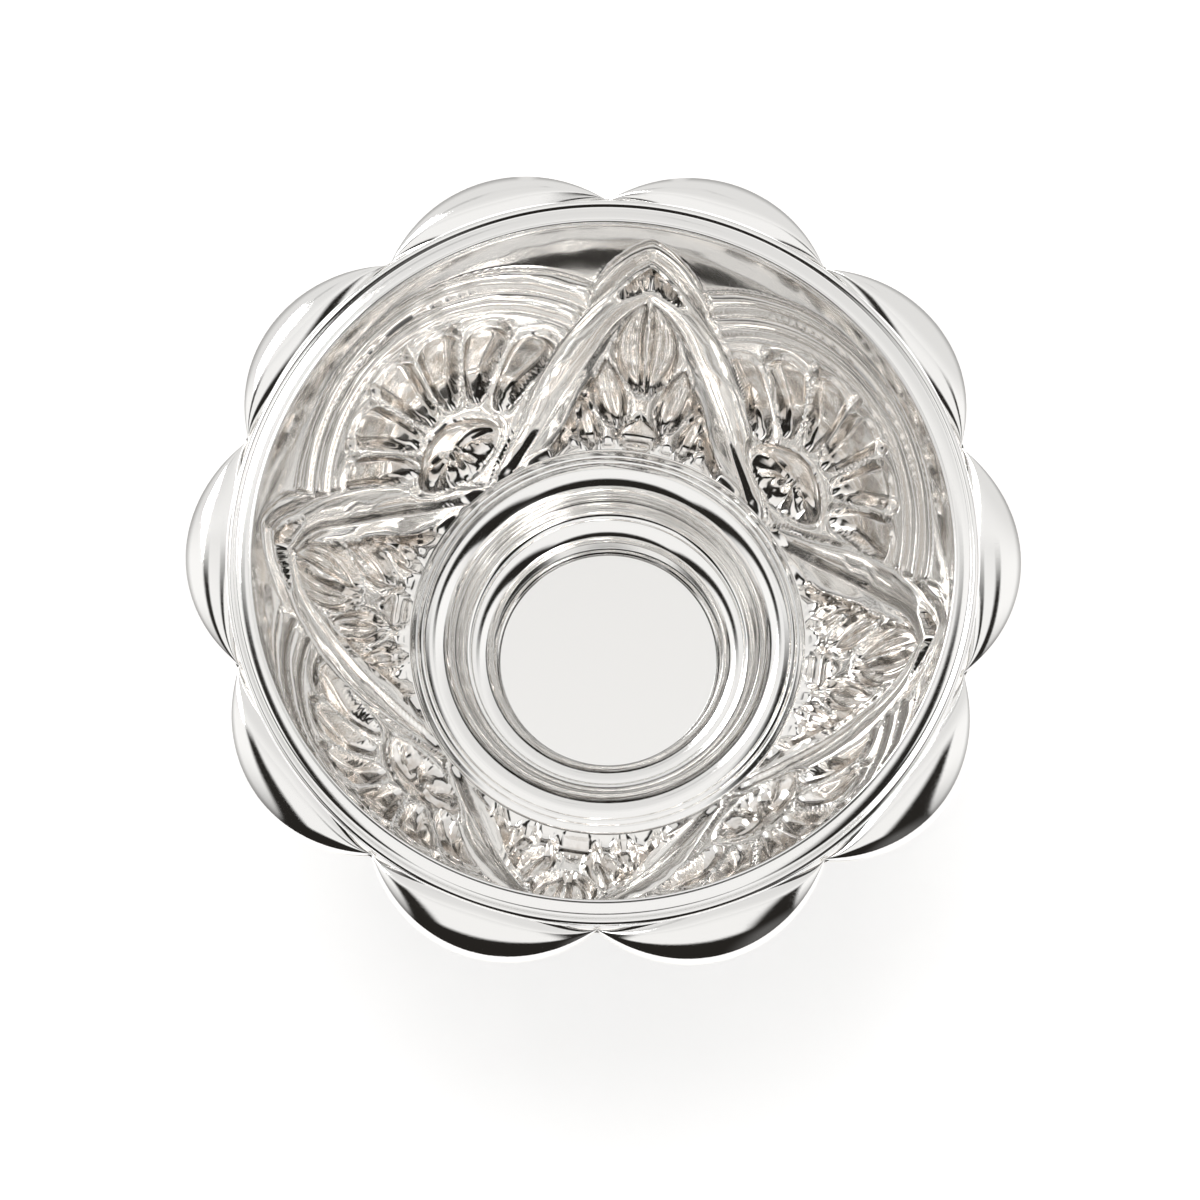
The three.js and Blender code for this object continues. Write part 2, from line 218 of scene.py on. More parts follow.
def group(name, kind, inputs, outputs):
    """A new node group with named sockets, and its input and output nodes."""
    tree = bpy.data.node_groups.new(name, kind)
    for label, socket, value in inputs:
        made = tree.interface.new_socket(label, in_out="INPUT", socket_type="NodeSocket" + socket)
        if value is not None:
            made.default_value = value
    for label, socket in outputs:
        tree.interface.new_socket(label, in_out="OUTPUT", socket_type="NodeSocket" + socket)
    return Tree(tree), tree.nodes.new("NodeGroupInput").outputs, tree.nodes.new("NodeGroupOutput").inputs


print("ways to add a node:", [name for name in vars(Tree) if not name.startswith("_")])


# %% [markdown]
# ## Studio
# Polished silver has hardly any colour of its own: what it shows is the studio. A bowl like this
# is photographed under white cloth: a panel overhead, a panel on each side that turns grey towards
# the front, and one behind. The front stays dark, because the camera stands there. The dark front
# draws the black crescents in the metal, and the gaps between the panels, which close towards the
# back, draw the thin dark streaks. Real panels round the bowl would do the same, but their light
# takes many samples to settle. So the world holds the studio, as a brightness that depends on the
# direction. X, Y and Z below are the parts of a direction of length one: X to the right, Y to the
# back and Z up. Where a name has four values, the brightness goes from the third to the fourth
# between the first two places.

# %% Panels of the studio
FRONT_EDGE = (-0.50, -0.36)
BACK_EDGE = (0.16, 0.32)
OVERHEAD_LEFT = (0.36, 0.27)
OVERHEAD_RIGHT = (0.30, 0.17)
OVERHEAD_SLANT = 0.21
OVERHEAD_SHADE = (0.15, 0.40, 0.94, 0.76)
SIDE_LEFT = (0.48, 0.58)
SIDE_RIGHT = (0.45, 0.53)
SLANT_LEFT = 0.40
SLANT_RIGHT = 0.66
BACK_SEAM = (0.66, 0.06, 0.30)
BACK_SHADE = (0.2, 0.5, 1.0, 0.78)
FRONT_SHADE = (-0.75, 0.05, 0.30, 1.0)
FLOOR_SHADE = (0.03, 0.45, 0.55, 1.0)
GLIMMER_SIDE = (0.3, 0.6)
GLIMMER_FRONT = (-0.7, -0.4, 0.10, 0)


def overhead_panel(t, x, y):
    """Brightness of the panel over the bowl."""
    slant = t.times(y, OVERHEAD_SLANT)
    left_end = t.spread(t.plus(t.times(x, -1), slant), *OVERHEAD_LEFT[::-1], 1, 0)
    right_end = t.spread(t.plus(x, slant), *OVERHEAD_RIGHT[::-1], 1, 0)
    over = t.times(t.times(left_end, right_end), t.spread(y, *FRONT_EDGE))
    return t.times(over, t.spread(y, *OVERHEAD_SHADE))


def standing_cloth(t, x, y, z):
    """Brightness of the panels at the sides and behind, with a soft seam in the one behind."""
    left = t.spread(t.plus(t.times(x, -1), t.times(y, SLANT_LEFT)), *SIDE_LEFT)
    right = t.spread(t.plus(x, t.times(y, SLANT_RIGHT)), *SIDE_RIGHT)
    level = t.math("SQRT", t.minus(1, t.times(z, z)))
    place, half, depth = BACK_SEAM
    seam = t.spread(t.math("ABSOLUTE", t.minus(level, place)), 0, half, 1 - depth, 1)
    behind = t.times(t.spread(y, *BACK_EDGE), seam)
    shade = t.times(t.spread(y, *FRONT_SHADE), t.spread(z, *FLOOR_SHADE))
    shade = t.times(shade, t.spread(y, *BACK_SHADE))
    return t.times(shade, t.math("MAXIMUM", t.math("MAXIMUM", left, right), behind))


print("overhead panel from x", -OVERHEAD_LEFT[0], "to", OVERHEAD_RIGHT[0], "and from y", FRONT_EDGE[0])


# %% Studio as the world
WARM_WHITE = (1.0, 0.992, 0.98, 1)
WARM_DARK = (0.020, 0.018, 0.016, 1)


def studio():
    """The world: the studio in every direction, and plain white where the camera sees past the floor."""
    world = bpy.data.worlds.new("studio")
    world.use_nodes = True
    t = Tree(world.node_tree)
    world.node_tree.nodes.clear()
    direction = t.node("ShaderNodeTexCoord").outputs["Generated"]
    x, y, z = t.node("ShaderNodeSeparateXYZ", {0: direction}).outputs
    panels = t.math("MAXIMUM", overhead_panel(t, x, y), standing_cloth(t, x, y, z))
    glimmer = t.times(t.spread(x, *GLIMMER_SIDE), t.spread(y, *GLIMMER_FRONT))
    colour = t.blend(t.math("MAXIMUM", panels, glimmer), WARM_DARK, WARM_WHITE)
    seen = t.node("ShaderNodeBackground", {"Color": (1, 1, 1, 1), "Strength": 1.0})
    lit = t.node("ShaderNodeBackground", {"Color": colour, "Strength": 1.0})
    camera_ray = t.node("ShaderNodeLightPath").outputs["Is Camera Ray"]
    mixed = t.node("ShaderNodeMixShader", {0: camera_ray, 1: lit.outputs[0], 2: seen.outputs[0]})
    t.node("ShaderNodeOutputWorld", {"Surface": mixed.outputs[0]})
    bpy.context.scene.world = world


studio()
bpy.context.scene.view_settings.view_transform = "Standard"
print("studio made, view transform", bpy.context.scene.view_settings.view_transform)


# %% [markdown]
# ## Floor and lamps
# The bowl stands on pale card that comes out white in the picture, with a soft shadow in front of
# the foot. Card alone would turn grey where the lamps fall off, so it also glows a little, but
# only for the camera and for reflections: it must not light the bowl from below. There are two
# square lamps. One would do, but the place that gives the silver its sheen throws the shadow to
# the wrong side. So one lamp is seen in the silver only, and the other draws the shadow only.

# %% Floor
FLOOR_SIZE = 6.0
FLOOR_GLOW = 0.46
CARD_GRAIN = 60.0
CARD_COLOURS = ((0.93, 0.93, 0.93, 1), (0.95, 0.95, 0.95, 1))


def pale_floor():
    """A plain pale floor that keeps the bowl's shadow, lifted to white for the camera and for gloss."""
    bpy.ops.mesh.primitive_plane_add(size=FLOOR_SIZE)
    floor = bpy.context.object
    floor.name = "floor"
    material = bpy.data.materials.new("pale_floor")
    material.use_nodes = True
    t = Tree(material.node_tree)
    shader = material.node_tree.nodes["Principled BSDF"]
    grain = t.noise(t.node("ShaderNodeTexCoord").outputs["Object"], CARD_GRAIN)
    t.feed(shader.inputs["Base Color"], t.blend(grain, *CARD_COLOURS))
    shader.inputs["Roughness"].default_value = 0.9
    shader.inputs["Specular IOR Level"].default_value = 0.1
    rays = t.node("ShaderNodeLightPath").outputs
    lifted = t.math("MAXIMUM", rays["Is Camera Ray"], rays["Is Glossy Ray"])
    glow = t.node("ShaderNodeEmission", {"Color": (1, 1, 1, 1), "Strength": FLOOR_GLOW})
    both = t.node("ShaderNodeAddShader", {0: shader.outputs[0], 1: glow.outputs[0]})
    seen = t.node("ShaderNodeMixShader", {0: lifted, 1: shader.outputs[0], 2: both.outputs[0]})
    t.feed(material.node_tree.nodes["Material Output"].inputs["Surface"], seen.outputs[0])
    floor.data.materials.append(material)
    floor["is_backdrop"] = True


pale_floor()
print("floor", FLOOR_SIZE, "m wide")


# %% Lamps
SHEEN_PLACE = (-2.1, 2.1, 3.7)
SHEEN_SIZE = 1.6
SHEEN_POWER = 55.0
SHADOW_PLACE = (-0.2, 0.9, 4.2)
SHADOW_SIZE = 1.9
SHADOW_POWER = 40.0


def soft_lamp(name, place, size, power):
    """A large square lamp that faces the bowl."""
    data = bpy.data.lights.new(name, "AREA")
    data.size = size
    data.energy = power
    lamp = bpy.data.objects.new(name, data)
    lamp.location = place
    lamp.rotation_euler = Vector(place).to_track_quat("Z", "Y").to_euler()
    bpy.context.scene.collection.objects.link(lamp)
    return lamp


sheen_lamp = soft_lamp("sheen_lamp", SHEEN_PLACE, SHEEN_SIZE, SHEEN_POWER)
sheen_lamp.visible_diffuse = False
shadow_lamp = soft_lamp("shadow_lamp", SHADOW_PLACE, SHADOW_SIZE, SHADOW_POWER)
shadow_lamp.visible_glossy = False
print("lamps:", SHEEN_POWER, "W for the sheen and", SHADOW_POWER, "W for the shadow")


# %% [markdown]
# ## Silver, and what happens to it
# All the pieces are sterling silver, and they differ by how they were worked. Turned pieces have
# fine polishing lines that run round. The raised wall is not quite even, because it was hammered.
# In the hollows of the chasing the colour is darkened to a warm brown: painted shade, deeper where the
# hollow is deeper.
# Painted textures could show all this, but they would have to be unwrapped onto every piece. Noise
# on Object coordinates fits any shape. Each effect is a node group, built once, and each material
# mixes them with its own values.

# %% Polishing lines
LINE_TILT = 0.7
LINE_LENGTH = 2.5


def lines_group():
    """Polishing lines round the axis, as a height and as a change of roughness."""
    t, given, out = group("round_polish", "ShaderNodeTree",
                          [("Lines per Metre", "Float", 9000.0)],
                          [("Height", "Float"), ("Dull", "Float")])
    place = t.node("ShaderNodeTexCoord").outputs["Object"]
    parts = t.node("ShaderNodeSeparateXYZ", {0: place}).outputs
    radius = t.math("SQRT", t.plus(t.math("POWER", parts[0], 2.0), t.math("POWER", parts[1], 2.0)))
    along = t.times(t.plus(radius, t.times(parts[2], LINE_TILT)), given["Lines per Metre"])
    turn = t.times(t.math("ARCTAN2", parts[1], parts[0]), LINE_LENGTH)
    flat = t.node("ShaderNodeCombineXYZ", {0: along, 1: turn}).outputs[0]
    fine = t.noise(flat, 0.35, 3.0, 0.65)
    t.feed(out["Height"], fine)
    t.feed(out["Dull"], t.spread(fine, 0.45, 0.75))
    return t.tree


groups = {"lines": lines_group()}
print("polishing lines run round, and change along the axis", LINE_TILT, "times as fast as outwards")


# %% Wiping scratches
WIPES = ((0.3, 0.2, 0.4), (1.1, 0.5, 1.9), (0.2, 1.3, 3.2))
WIPE_STRETCH = (1, 14, 14)


def scratches_group():
    """Fine wiping scratches in several directions."""
    t, given, out = group("wiping_scratches", "ShaderNodeTree",
                          [("Scale", "Float", 300.0)],
                          [("Height", "Float"), ("Dull", "Float")])
    place = t.node("ShaderNodeTexCoord").outputs["Object"]
    total = None
    for turn in WIPES:
        mapped = t.node("ShaderNodeMapping", {"Vector": place, "Rotation": turn, "Scale": WIPE_STRETCH})
        line = t.spread(t.noise(mapped.outputs[0], given["Scale"], 2.0, 0.7), 0.60, 0.72)
        total = line if total is None else t.math("MAXIMUM", total, line)
    t.feed(out["Height"], total)
    t.feed(out["Dull"], total)
    return t.tree


groups["scratches"] = scratches_group()
print("wiping scratches in", len(WIPES), "directions")


# %% Dents and painted shade in the hollows
def hammer_group():
    """Soft unevenness left by the hammer under the polish."""
    t, given, out = group("hammered_unevenness", "ShaderNodeTree",
                          [("Scale", "Float", 120.0)], [("Height", "Float")])
    place = t.node("ShaderNodeTexCoord").outputs["Object"]
    broad = t.noise(place, given["Scale"], 1.0, 0.4)
    small = t.noise(place, t.times(given["Scale"], 4.0), 2.0, 0.5)
    t.feed(out["Height"], t.plus(broad, t.times(small, 0.25)))
    return t.tree


def tarnish_group():
    """Painted warm shade, and a duller surface, where a mask marks the deep hollows."""
    # The shade colour is a warm brown that is painted in as shade in the hollows.
    t, given, out = group("tarnish", "ShaderNodeTree",
                          [("Mask", "Float", 0.0), ("Silver", "Color", (0.93, 0.91, 0.88, 1)),
                           ("Shade Colour", "Color", (0.62, 0.55, 0.48, 1)), ("Amount", "Float", 0.5)],
                          [("Color", "Color"), ("Dull", "Float")])
    place = t.node("ShaderNodeTexCoord").outputs["Object"]
    patches = t.spread(t.noise(place, 240.0, 4.0, 0.6), 0.35, 0.70, 0.25, 1.0)
    shade_share = t.math("MULTIPLY", t.times(given["Mask"], patches), given["Amount"], clamp=True)
    t.feed(out["Color"], t.blend(shade_share, given["Silver"], given["Shade Colour"]))
    t.feed(out["Dull"], shade_share)
    return t.tree


groups["hammer"] = hammer_group()
groups["tarnish"] = tarnish_group()
print("finish groups:", sorted(groups))


# %% [markdown]
# ## Four silvers
# Sheet, turned work, plate and drawn wire leave the workshop with different polish. One material
# with one roughness would make them look like plastic, so a function builds each from the same
# groups with its own values. It starts from a Principled shader with full Metallic. The lines,
# scratches and dents meet in one Bump node, because light doesn't tell them apart, and their dull
# parts raise the roughness. The painted shade in the hollows is the only thing that changes the colour.

# %% Silver materials
LINE_HEIGHT = 0.006
LINE_DULL = 0.05
SCRATCH_HEIGHT = 0.004
SCRATCH_DULL = 0.10
HOLLOW_SHADE_DULL = 0.08


def silver(name, colour, rough, dents, lines, scratches, tarnish):
    """A silver with its own polish, unevenness, lines, scratches and painted shade in the hollows."""
    material = bpy.data.materials.new(name)
    material.use_nodes = True
    t = Tree(material.node_tree)
    shader = material.node_tree.nodes["Principled BSDF"]
    shader.inputs["Metallic"].default_value = 1.0

    def use(key, inputs=None):
        made = t.node("ShaderNodeGroup", node_tree=groups[key])
        for label, value in (inputs or {}).items():
            t.feed(made.inputs[label], value)
        return made.outputs

    turned_lines = use("lines")
    wiped = use("scratches")
    hammered = use("hammer")
    # The wall marks its hollows in the hollow attribute; there the colour gets a painted warm shade.
    mask = t.node("ShaderNodeAttribute", attribute_name="hollow").outputs["Fac"]
    shaded_colour = use("tarnish", {"Mask": mask, "Silver": colour, "Amount": tarnish})
    t.feed(shader.inputs["Base Color"], shaded_colour["Color"])
    dull = t.plus(t.times(turned_lines["Dull"], LINE_DULL * lines),
                  t.times(wiped["Dull"], SCRATCH_DULL * scratches))
    dull = t.plus(dull, t.times(shaded_colour["Dull"], HOLLOW_SHADE_DULL))
    t.feed(shader.inputs["Roughness"], t.plus(dull, rough))
    height = t.plus(t.times(turned_lines["Height"], LINE_HEIGHT * lines),
                    t.times(wiped["Height"], SCRATCH_HEIGHT * scratches))
    height = t.plus(height, t.times(hammered["Height"], dents))
    bump = t.node("ShaderNodeBump", {"Height": height, "Strength": 1.0, "Distance": MM})
    t.feed(shader.inputs["Normal"], bump.outputs[0])
    return material


WARM_SILVER = (0.94, 0.925, 0.905, 1)
COOL_SILVER = (0.95, 0.945, 0.935, 1)
DEEP_SILVER = (0.90, 0.88, 0.85, 1)
finish = {
    "polished_silver": silver("polished_silver", COOL_SILVER, rough=0.06, dents=0.004,
                              lines=0.4, scratches=0.3, tarnish=0.2),
    "chased_silver": silver("chased_silver", WARM_SILVER, rough=0.08, dents=0.003,
                            lines=0.1, scratches=0.15, tarnish=0.75),
    "mirror_silver": silver("mirror_silver", COOL_SILVER, rough=0.10, dents=0.004,
                            lines=0.3, scratches=0.4, tarnish=0.1),
    "silver_wire": silver("silver_wire", DEEP_SILVER, rough=0.10, dents=0.008,
                          lines=0.4, scratches=0.4, tarnish=0.3),
}
print("materials:", sorted(finish))


# %% [markdown]
# ## From outline to piece
# A turned piece starts as a closed outline of radius and level. Sharp corners get a small
# rounding, since a polished edge always catches a line of light. A Bevel modifier could do that
# on the finished mesh, but it has to find the corners among hundreds of facets. Rounding the
# outline first is exact. A few extra points beside each rounding keep the flat faces flat when the
# shading is smoothed.

# %% Outlines
def arc(r, z, radius_r, radius_z, start, end, steps=16):
    """Part of an ellipse round (r, z), from one angle to another, in degrees."""
    angles = np.radians(np.linspace(start, end, steps + 1))
    return [(r + radius_r * math.cos(a), z + radius_z * math.sin(a)) for a in angles]


def bezier(p0, p1, p2, steps=16):
    """A quadratic curve from p0 to p2, pulled towards p1."""
    t = np.linspace(0, 1, steps + 1)[:, None]
    curve = (1 - t) ** 2 * np.array(p0) + 2 * t * (1 - t) * np.array(p1) + t ** 2 * np.array(p2)
    return [tuple(p) for p in curve]


def beside(points, distance):
    """The same line moved sideways, to its right as it runs."""
    line = np.array(points, float)
    run = np.gradient(line, axis=0)
    run /= np.linalg.norm(run, axis=1)[:, None]
    moved = line + distance * np.stack([run[:, 1], -run[:, 0]], axis=1)
    return [tuple(p) for p in moved]


print("an arc of four steps has", len(arc(0, 0, 1, 1, 0, 90, 4)), "points")


# %% Rounded corners
SOFT_RADIUS = 0.25
SHARP_TURN = math.radians(24)
SAME_PLACE = 1e-6


def softened(outline, radius=SOFT_RADIUS, steps=4):
    """A closed outline with its sharp corners rounded, and points close beside each rounding."""
    points = [np.array(p, float) for p in outline]
    result = []
    for i, corner in enumerate(points):
        before = points[i - 1] - corner
        after = points[(i + 1) % len(points)] - corner
        back, ahead = np.linalg.norm(before), np.linalg.norm(after)
        if back < SAME_PLACE or ahead < SAME_PLACE:
            continue
        turn = math.acos(max(-1.0, min(1.0, float(-before @ after / back / ahead))))
        if turn < SHARP_TURN or corner[0] < SAME_PLACE:
            result.append(tuple(corner))
            continue
        reach = min(radius, 0.4 * back, 0.4 * ahead)
        start = corner + before / back * reach
        end = corner + after / ahead * reach
        curve = bezier(start, corner, end, steps)
        if back > 4 * reach:
            result.append(tuple(corner + before / back * reach * 1.6))
        result.extend(curve)
        if ahead > 4 * reach:
            result.append(tuple(corner + after / ahead * reach * 1.6))
    return result


print("corners rounded by", SOFT_RADIUS, "mm")


# %% [markdown]
# ## From outline to mesh
# The Screw modifier turns an outline round Z, as a lathe does. The Spin tool would need edit mode,
# which a script does better without. Every modifier is then applied by taking the evaluated mesh,
# and the result is closed, merged and turned the right way out.

# %% Pieces
SHARP_EDGE = math.radians(50)


def new_piece(name, vertices, edges=(), faces=()):
    """A mesh object in the scene."""
    mesh = bpy.data.meshes.new(name)
    mesh.from_pydata(vertices, list(edges), list(faces))
    piece = bpy.data.objects.new(name, mesh)
    bpy.context.scene.collection.objects.link(piece)
    return piece


def plain(piece):
    """The piece with its modifiers applied, its doubles merged and its faces outwards."""
    depsgraph = bpy.context.evaluated_depsgraph_get()
    mesh = bpy.data.meshes.new_from_object(piece.evaluated_get(depsgraph),
                                           preserve_all_data_layers=True, depsgraph=depsgraph)
    piece.modifiers.clear()
    old = piece.data
    piece.data = mesh
    bpy.data.meshes.remove(old)
    shape = bmesh.new()
    shape.from_mesh(mesh)
    bmesh.ops.remove_doubles(shape, verts=shape.verts, dist=SAME_PLACE)
    bmesh.ops.recalc_face_normals(shape, faces=shape.faces)
    if shape.calc_volume(signed=True) < 0:
        bmesh.ops.reverse_faces(shape, faces=shape.faces)
    open_edges = sum(not e.is_manifold for e in shape.edges)
    shape.to_mesh(mesh)
    shape.free()
    mesh.shade_smooth()
    mesh.set_sharp_from_angle(angle=SHARP_EDGE)
    print(piece.name, len(mesh.polygons), "faces, open edges:", open_edges)
    return piece


def dress(piece, slot, *nodes):
    """Gives a piece its finish and its place in the frame."""
    piece.data.materials.clear()
    piece.data.materials.append(finish[slot])
    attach(piece, "root")
    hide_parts(*nodes)


print("edges over", round(math.degrees(SHARP_EDGE)), "degrees stay sharp")


# %% Turned work
TURN_STEPS = 288


def turned(name, outline, steps=TURN_STEPS):
    """A closed outline in (radius, level) turned round the axis."""
    count = len(outline)
    edges = [(i, (i + 1) % count) for i in range(count)]
    edges = [(a, b) for a, b in edges if outline[a][0] > SAME_PLACE or outline[b][0] > SAME_PLACE]
    piece = new_piece(name, [(r * MM, 0, z * MM) for r, z in outline], edges)
    screw = piece.modifiers.new("turn", "SCREW")
    screw.steps = screw.render_steps = steps
    screw.use_merge_vertices = True
    screw.merge_threshold = SAME_PLACE
    return plain(piece)


print("turned pieces have", TURN_STEPS, "steps round")


# %% [markdown]
# ## Foot
# The foot stands on a heavier ring, flat below. Above it the sheet spreads over a small step,
# runs in to a waist and out again to a flange under the well. The photograph doesn't show the
# foot, so it is the plain spun form that such bowls have. It could be made of stacked cylinders
# and cones, but spun metal has no straight part, so the line is drawn as curves. Sheet spun on a
# former has the same thickness all over: its inside is the outside line moved in by that much.

# %% Line of the foot
STEM_TOP = 36.6
WAIST_RADIUS = 27.0
WAIST_HEIGHT = 30.0
STEP_RADIUS = 55.0
STEP_HEIGHT = 9.0
STEP_EDGE = 0.4
STEP_DROP = 0.4
RIM_WIDTH = 4.8


def foot_line():
    """Outside of the foot, from the flange down to the rim."""
    flange = foot_top - FOOT_SHEET
    waist = (WAIST_RADIUS, WAIST_HEIGHT)
    stem = bezier((STEM_TOP - FOOT_SHEET, flange), (WAIST_RADIUS, flange), waist, 20)
    step_top = STEP_HEIGHT + STEP_DROP
    middle = (WAIST_RADIUS + STEP_RADIUS) / 2
    t = np.linspace(0, 1, 33)[1:, None]
    corners = [np.array(p) for p in (waist, (WAIST_RADIUS, (WAIST_HEIGHT + STEP_HEIGHT) / 2),
                                     (middle, step_top), (STEP_RADIUS, step_top))]
    spread = ((1 - t) ** 3 * corners[0] + 3 * t * (1 - t) ** 2 * corners[1]
              + 3 * t ** 2 * (1 - t) * corners[2] + t ** 3 * corners[3])
    inner = STEP_RADIUS + STEP_EDGE
    skirt = arc(inner, foot_bottom, foot_outer - inner, STEP_HEIGHT - foot_bottom, 90, 0, 14)
    return stem + [tuple(p) for p in spread] + skirt


outside = foot_line()
print("foot line of", len(outside), "points, waist", 2 * WAIST_RADIUS, "mm across")


# %% Foot and its rim
inside = beside(outside, FOOT_SHEET)
inside[-1] = (inside[-1][0], foot_bottom)
foot_outline = [(STEM_TOP, foot_top), (STEM_TOP, foot_top - FOOT_SHEET), *outside,
                *inside[::-1][:-1], (inside[0][0], foot_top)]
foot = turned("foot_spun", softened(foot_outline))
dress(foot, "polished_silver", "foot")

half = (rim_top - rim_bottom) / 2
rim_outline = [(rim_outer - RIM_WIDTH, rim_bottom),
               *arc(rim_outer - half, rim_bottom + half, half, half, -90, 90, 16),
               (rim_outer - RIM_WIDTH, rim_top)]
foot_rim = turned("foot_rim_turned", softened(rim_outline))
dress(foot_rim, "polished_silver", "foot_rim")


# %% [markdown]
# ## Round wires
# The collar between well and foot and the bead below the wall are drawn wires bent into rings.
# Two torus primitives would do, but every wire here is round and follows a path, so Geometry
# Nodes make them: a circle for the path, a small circle for the wire, and the sizes as named
# inputs. The last two nodes turn instances into a real mesh and give it its finish.

# %% Tree of a wire ring
def finished(t, geometry, material):
    """The end of each tree: instances made real, and the finish."""
    real = t.node("GeometryNodeRealizeInstances", {0: geometry})
    done = t.node("GeometryNodeSetMaterial", {"Geometry": real.outputs[0], "Material": material})
    return done.outputs[0]


def wire_ring_tree():
    """A ring of round wire, with its radius, the wire's radius and its level as inputs."""
    t, given, out = group("wire_ring", "GeometryNodeTree",
                          [("Ring Radius", "Float", 0.04), ("Wire Radius", "Float", 0.002),
                           ("Level", "Float", 0.0), ("Finish", "Material", None)],
                          [("Geometry", "Geometry")])
    circle = "GeometryNodeCurvePrimitiveCircle"
    path = t.node(circle, {"Resolution": TURN_STEPS, "Radius": given["Ring Radius"]})
    wire = t.node(circle, {"Resolution": 24, "Radius": given["Wire Radius"]})
    swept = t.node("GeometryNodeCurveToMesh", {"Curve": path.outputs[0], "Profile Curve": wire.outputs[0]})
    lift = t.node("ShaderNodeCombineXYZ", {2: given["Level"]})
    placed = t.node("GeometryNodeTransform", {"Geometry": swept.outputs[0], "Translation": lift.outputs[0]})
    t.feed(out[0], finished(t, placed.outputs[0], given["Finish"]))
    return t.tree


ring_tree = wire_ring_tree()
print("inputs of the tree:", [item.name for item in ring_tree.interface.items_tree][1:])


# %% Collar and seam bead
COLLAR_WIRE = 2.2
BEAD_WIRE = 1.6


def by_nodes(name, tree, values, start=None):
    """A piece made by a Geometry Nodes tree from named values."""
    piece = start or new_piece(name, [(0, 0, 0)])
    modifier = piece.modifiers.new(tree.name, "NODES")
    modifier.node_group = tree
    for item in tree.interface.items_tree:
        if item.in_out == "INPUT" and item.name in values:
            modifier[item.identifier] = values[item.name]
    return plain(piece)


for name, node, wire_radius in (("collar_wire", "foot_collar", COLLAR_WIRE),
                                ("seam_wire", "seam_bead", BEAD_WIRE)):
    outer, bottom, top = ring_sizes(node)
    ring = by_nodes(name, ring_tree, {
        "Ring Radius": (outer - wire_radius) * MM, "Wire Radius": wire_radius * MM,
        "Level": (top + bottom) / 2 * MM, "Finish": finish["silver_wire"]})
    dress(ring, "silver_wire", node)


# %% [markdown]
# ## Well
# The well is spun in one piece. From the wall inwards it has a lip with two fine lines, a broad
# shoulder that is nearly flat above and turns down quickly, a hollow, a roll, and a steep side
# down to the plate. Separate rings stacked on each other would leave seams that spun work doesn't
# have, so one outline holds all the mouldings, each added to the one before. A ring under the lip
# centres it in the wall. The plate must be dead even, because it mirrors the cloth overhead.

# %% Well mouldings
LEDGE_WIDTH = 3.5
BEZEL = 0.9
THROAT = (0.7, 7.2)
ROLL = (6.4, 3.5)
HOLLOW = (4.5, 9.2)
SHOULDER = (7.3, 5.5)
SHOULDER_POWER = 1.8
BREAK = 0.4
LIP_WIDTH = 6.5
LIP_FALL = 1.0
LIP_EDGE = 0.7
NECK_DROP = 3.6

bezel_radius = plate_radius + SEAM
throat_inner = bezel_radius + BEZEL
roll_inner = throat_inner + THROAT[0]
hollow_inner = roll_inner + ROLL[0] + BREAK
shoulder_inner = hollow_inner + HOLLOW[0]
crest_radius = shoulder_inner + SHOULDER[0]
neck = crest_radius + LIP_WIDTH - CURL_WIDTH
throat_bottom = plate_top + BREAK
roll_bottom = throat_bottom + THROAT[1] + BREAK
hollow_top = roll_bottom + ROLL[1] + BREAK + HOLLOW[1]
shoulder_bottom = hollow_top + BREAK
crest_level = shoulder_bottom + SHOULDER[1]
lip_seat = crest_level - LIP_FALL - LIP_EDGE
ledge_top = ledge_bottom + WELL_SHEET
print("well crest at", round(crest_level, 2), "mm")


def well_side(thickness, steps):
    """Shoulder, hollow and roll, seen from above, or from below with the sheet's thickness."""
    across = SHOULDER[0] - thickness
    up = SHOULDER[1] - thickness
    power = 2 / SHOULDER_POWER
    shoulder = [(crest_radius - across * math.sin(a) ** power, shoulder_bottom + up * math.cos(a) ** power)
                for a in np.linspace(0, math.pi / 2, 2 * steps + 1)[:-1]]
    dip = arc(hollow_inner, hollow_top, HOLLOW[0] + thickness, HOLLOW[1] + thickness, 0, -90, steps)
    roll = arc(roll_inner + ROLL[0], roll_bottom, ROLL[0] - thickness, ROLL[1] - thickness, 90, 180, steps)
    return [*shoulder, (shoulder_inner + thickness, shoulder_bottom), *dip, *roll]


# %% [markdown]
# ## The lip's lines, and the plate
# The two lines on the lip were cut with the well still in the lathe. A bump in the material could
# draw them, but they catch the light from the side, so they are real grooves in the outline.

# %% Lip of the well
LIP_LINES = (0.30, 0.62)
LINE_DEPTH = 0.16
LINE_WIDTH = 0.30
LIP_STEPS = 50
LIP_CURVE = 1.3


def lip_band():
    """The lip's upper face from its edge in to the crest, with two fine engraved lines."""
    band = []
    for share in np.linspace(0, 1, LIP_STEPS + 1)[:-1]:
        along = share * (LIP_WIDTH - LIP_EDGE)
        level = crest_level - LIP_FALL * (1 - share) ** LIP_CURVE
        for line in LIP_LINES:
            off = (share - line) * (LIP_WIDTH - LIP_EDGE) / LINE_WIDTH
            level -= LINE_DEPTH * math.exp(-off * off)
        band.append((lip_outer - LIP_EDGE - along, level))
    return band


print("lip lines at", [round(lip_outer - LIP_EDGE - line * (LIP_WIDTH - LIP_EDGE), 1) for line in LIP_LINES])


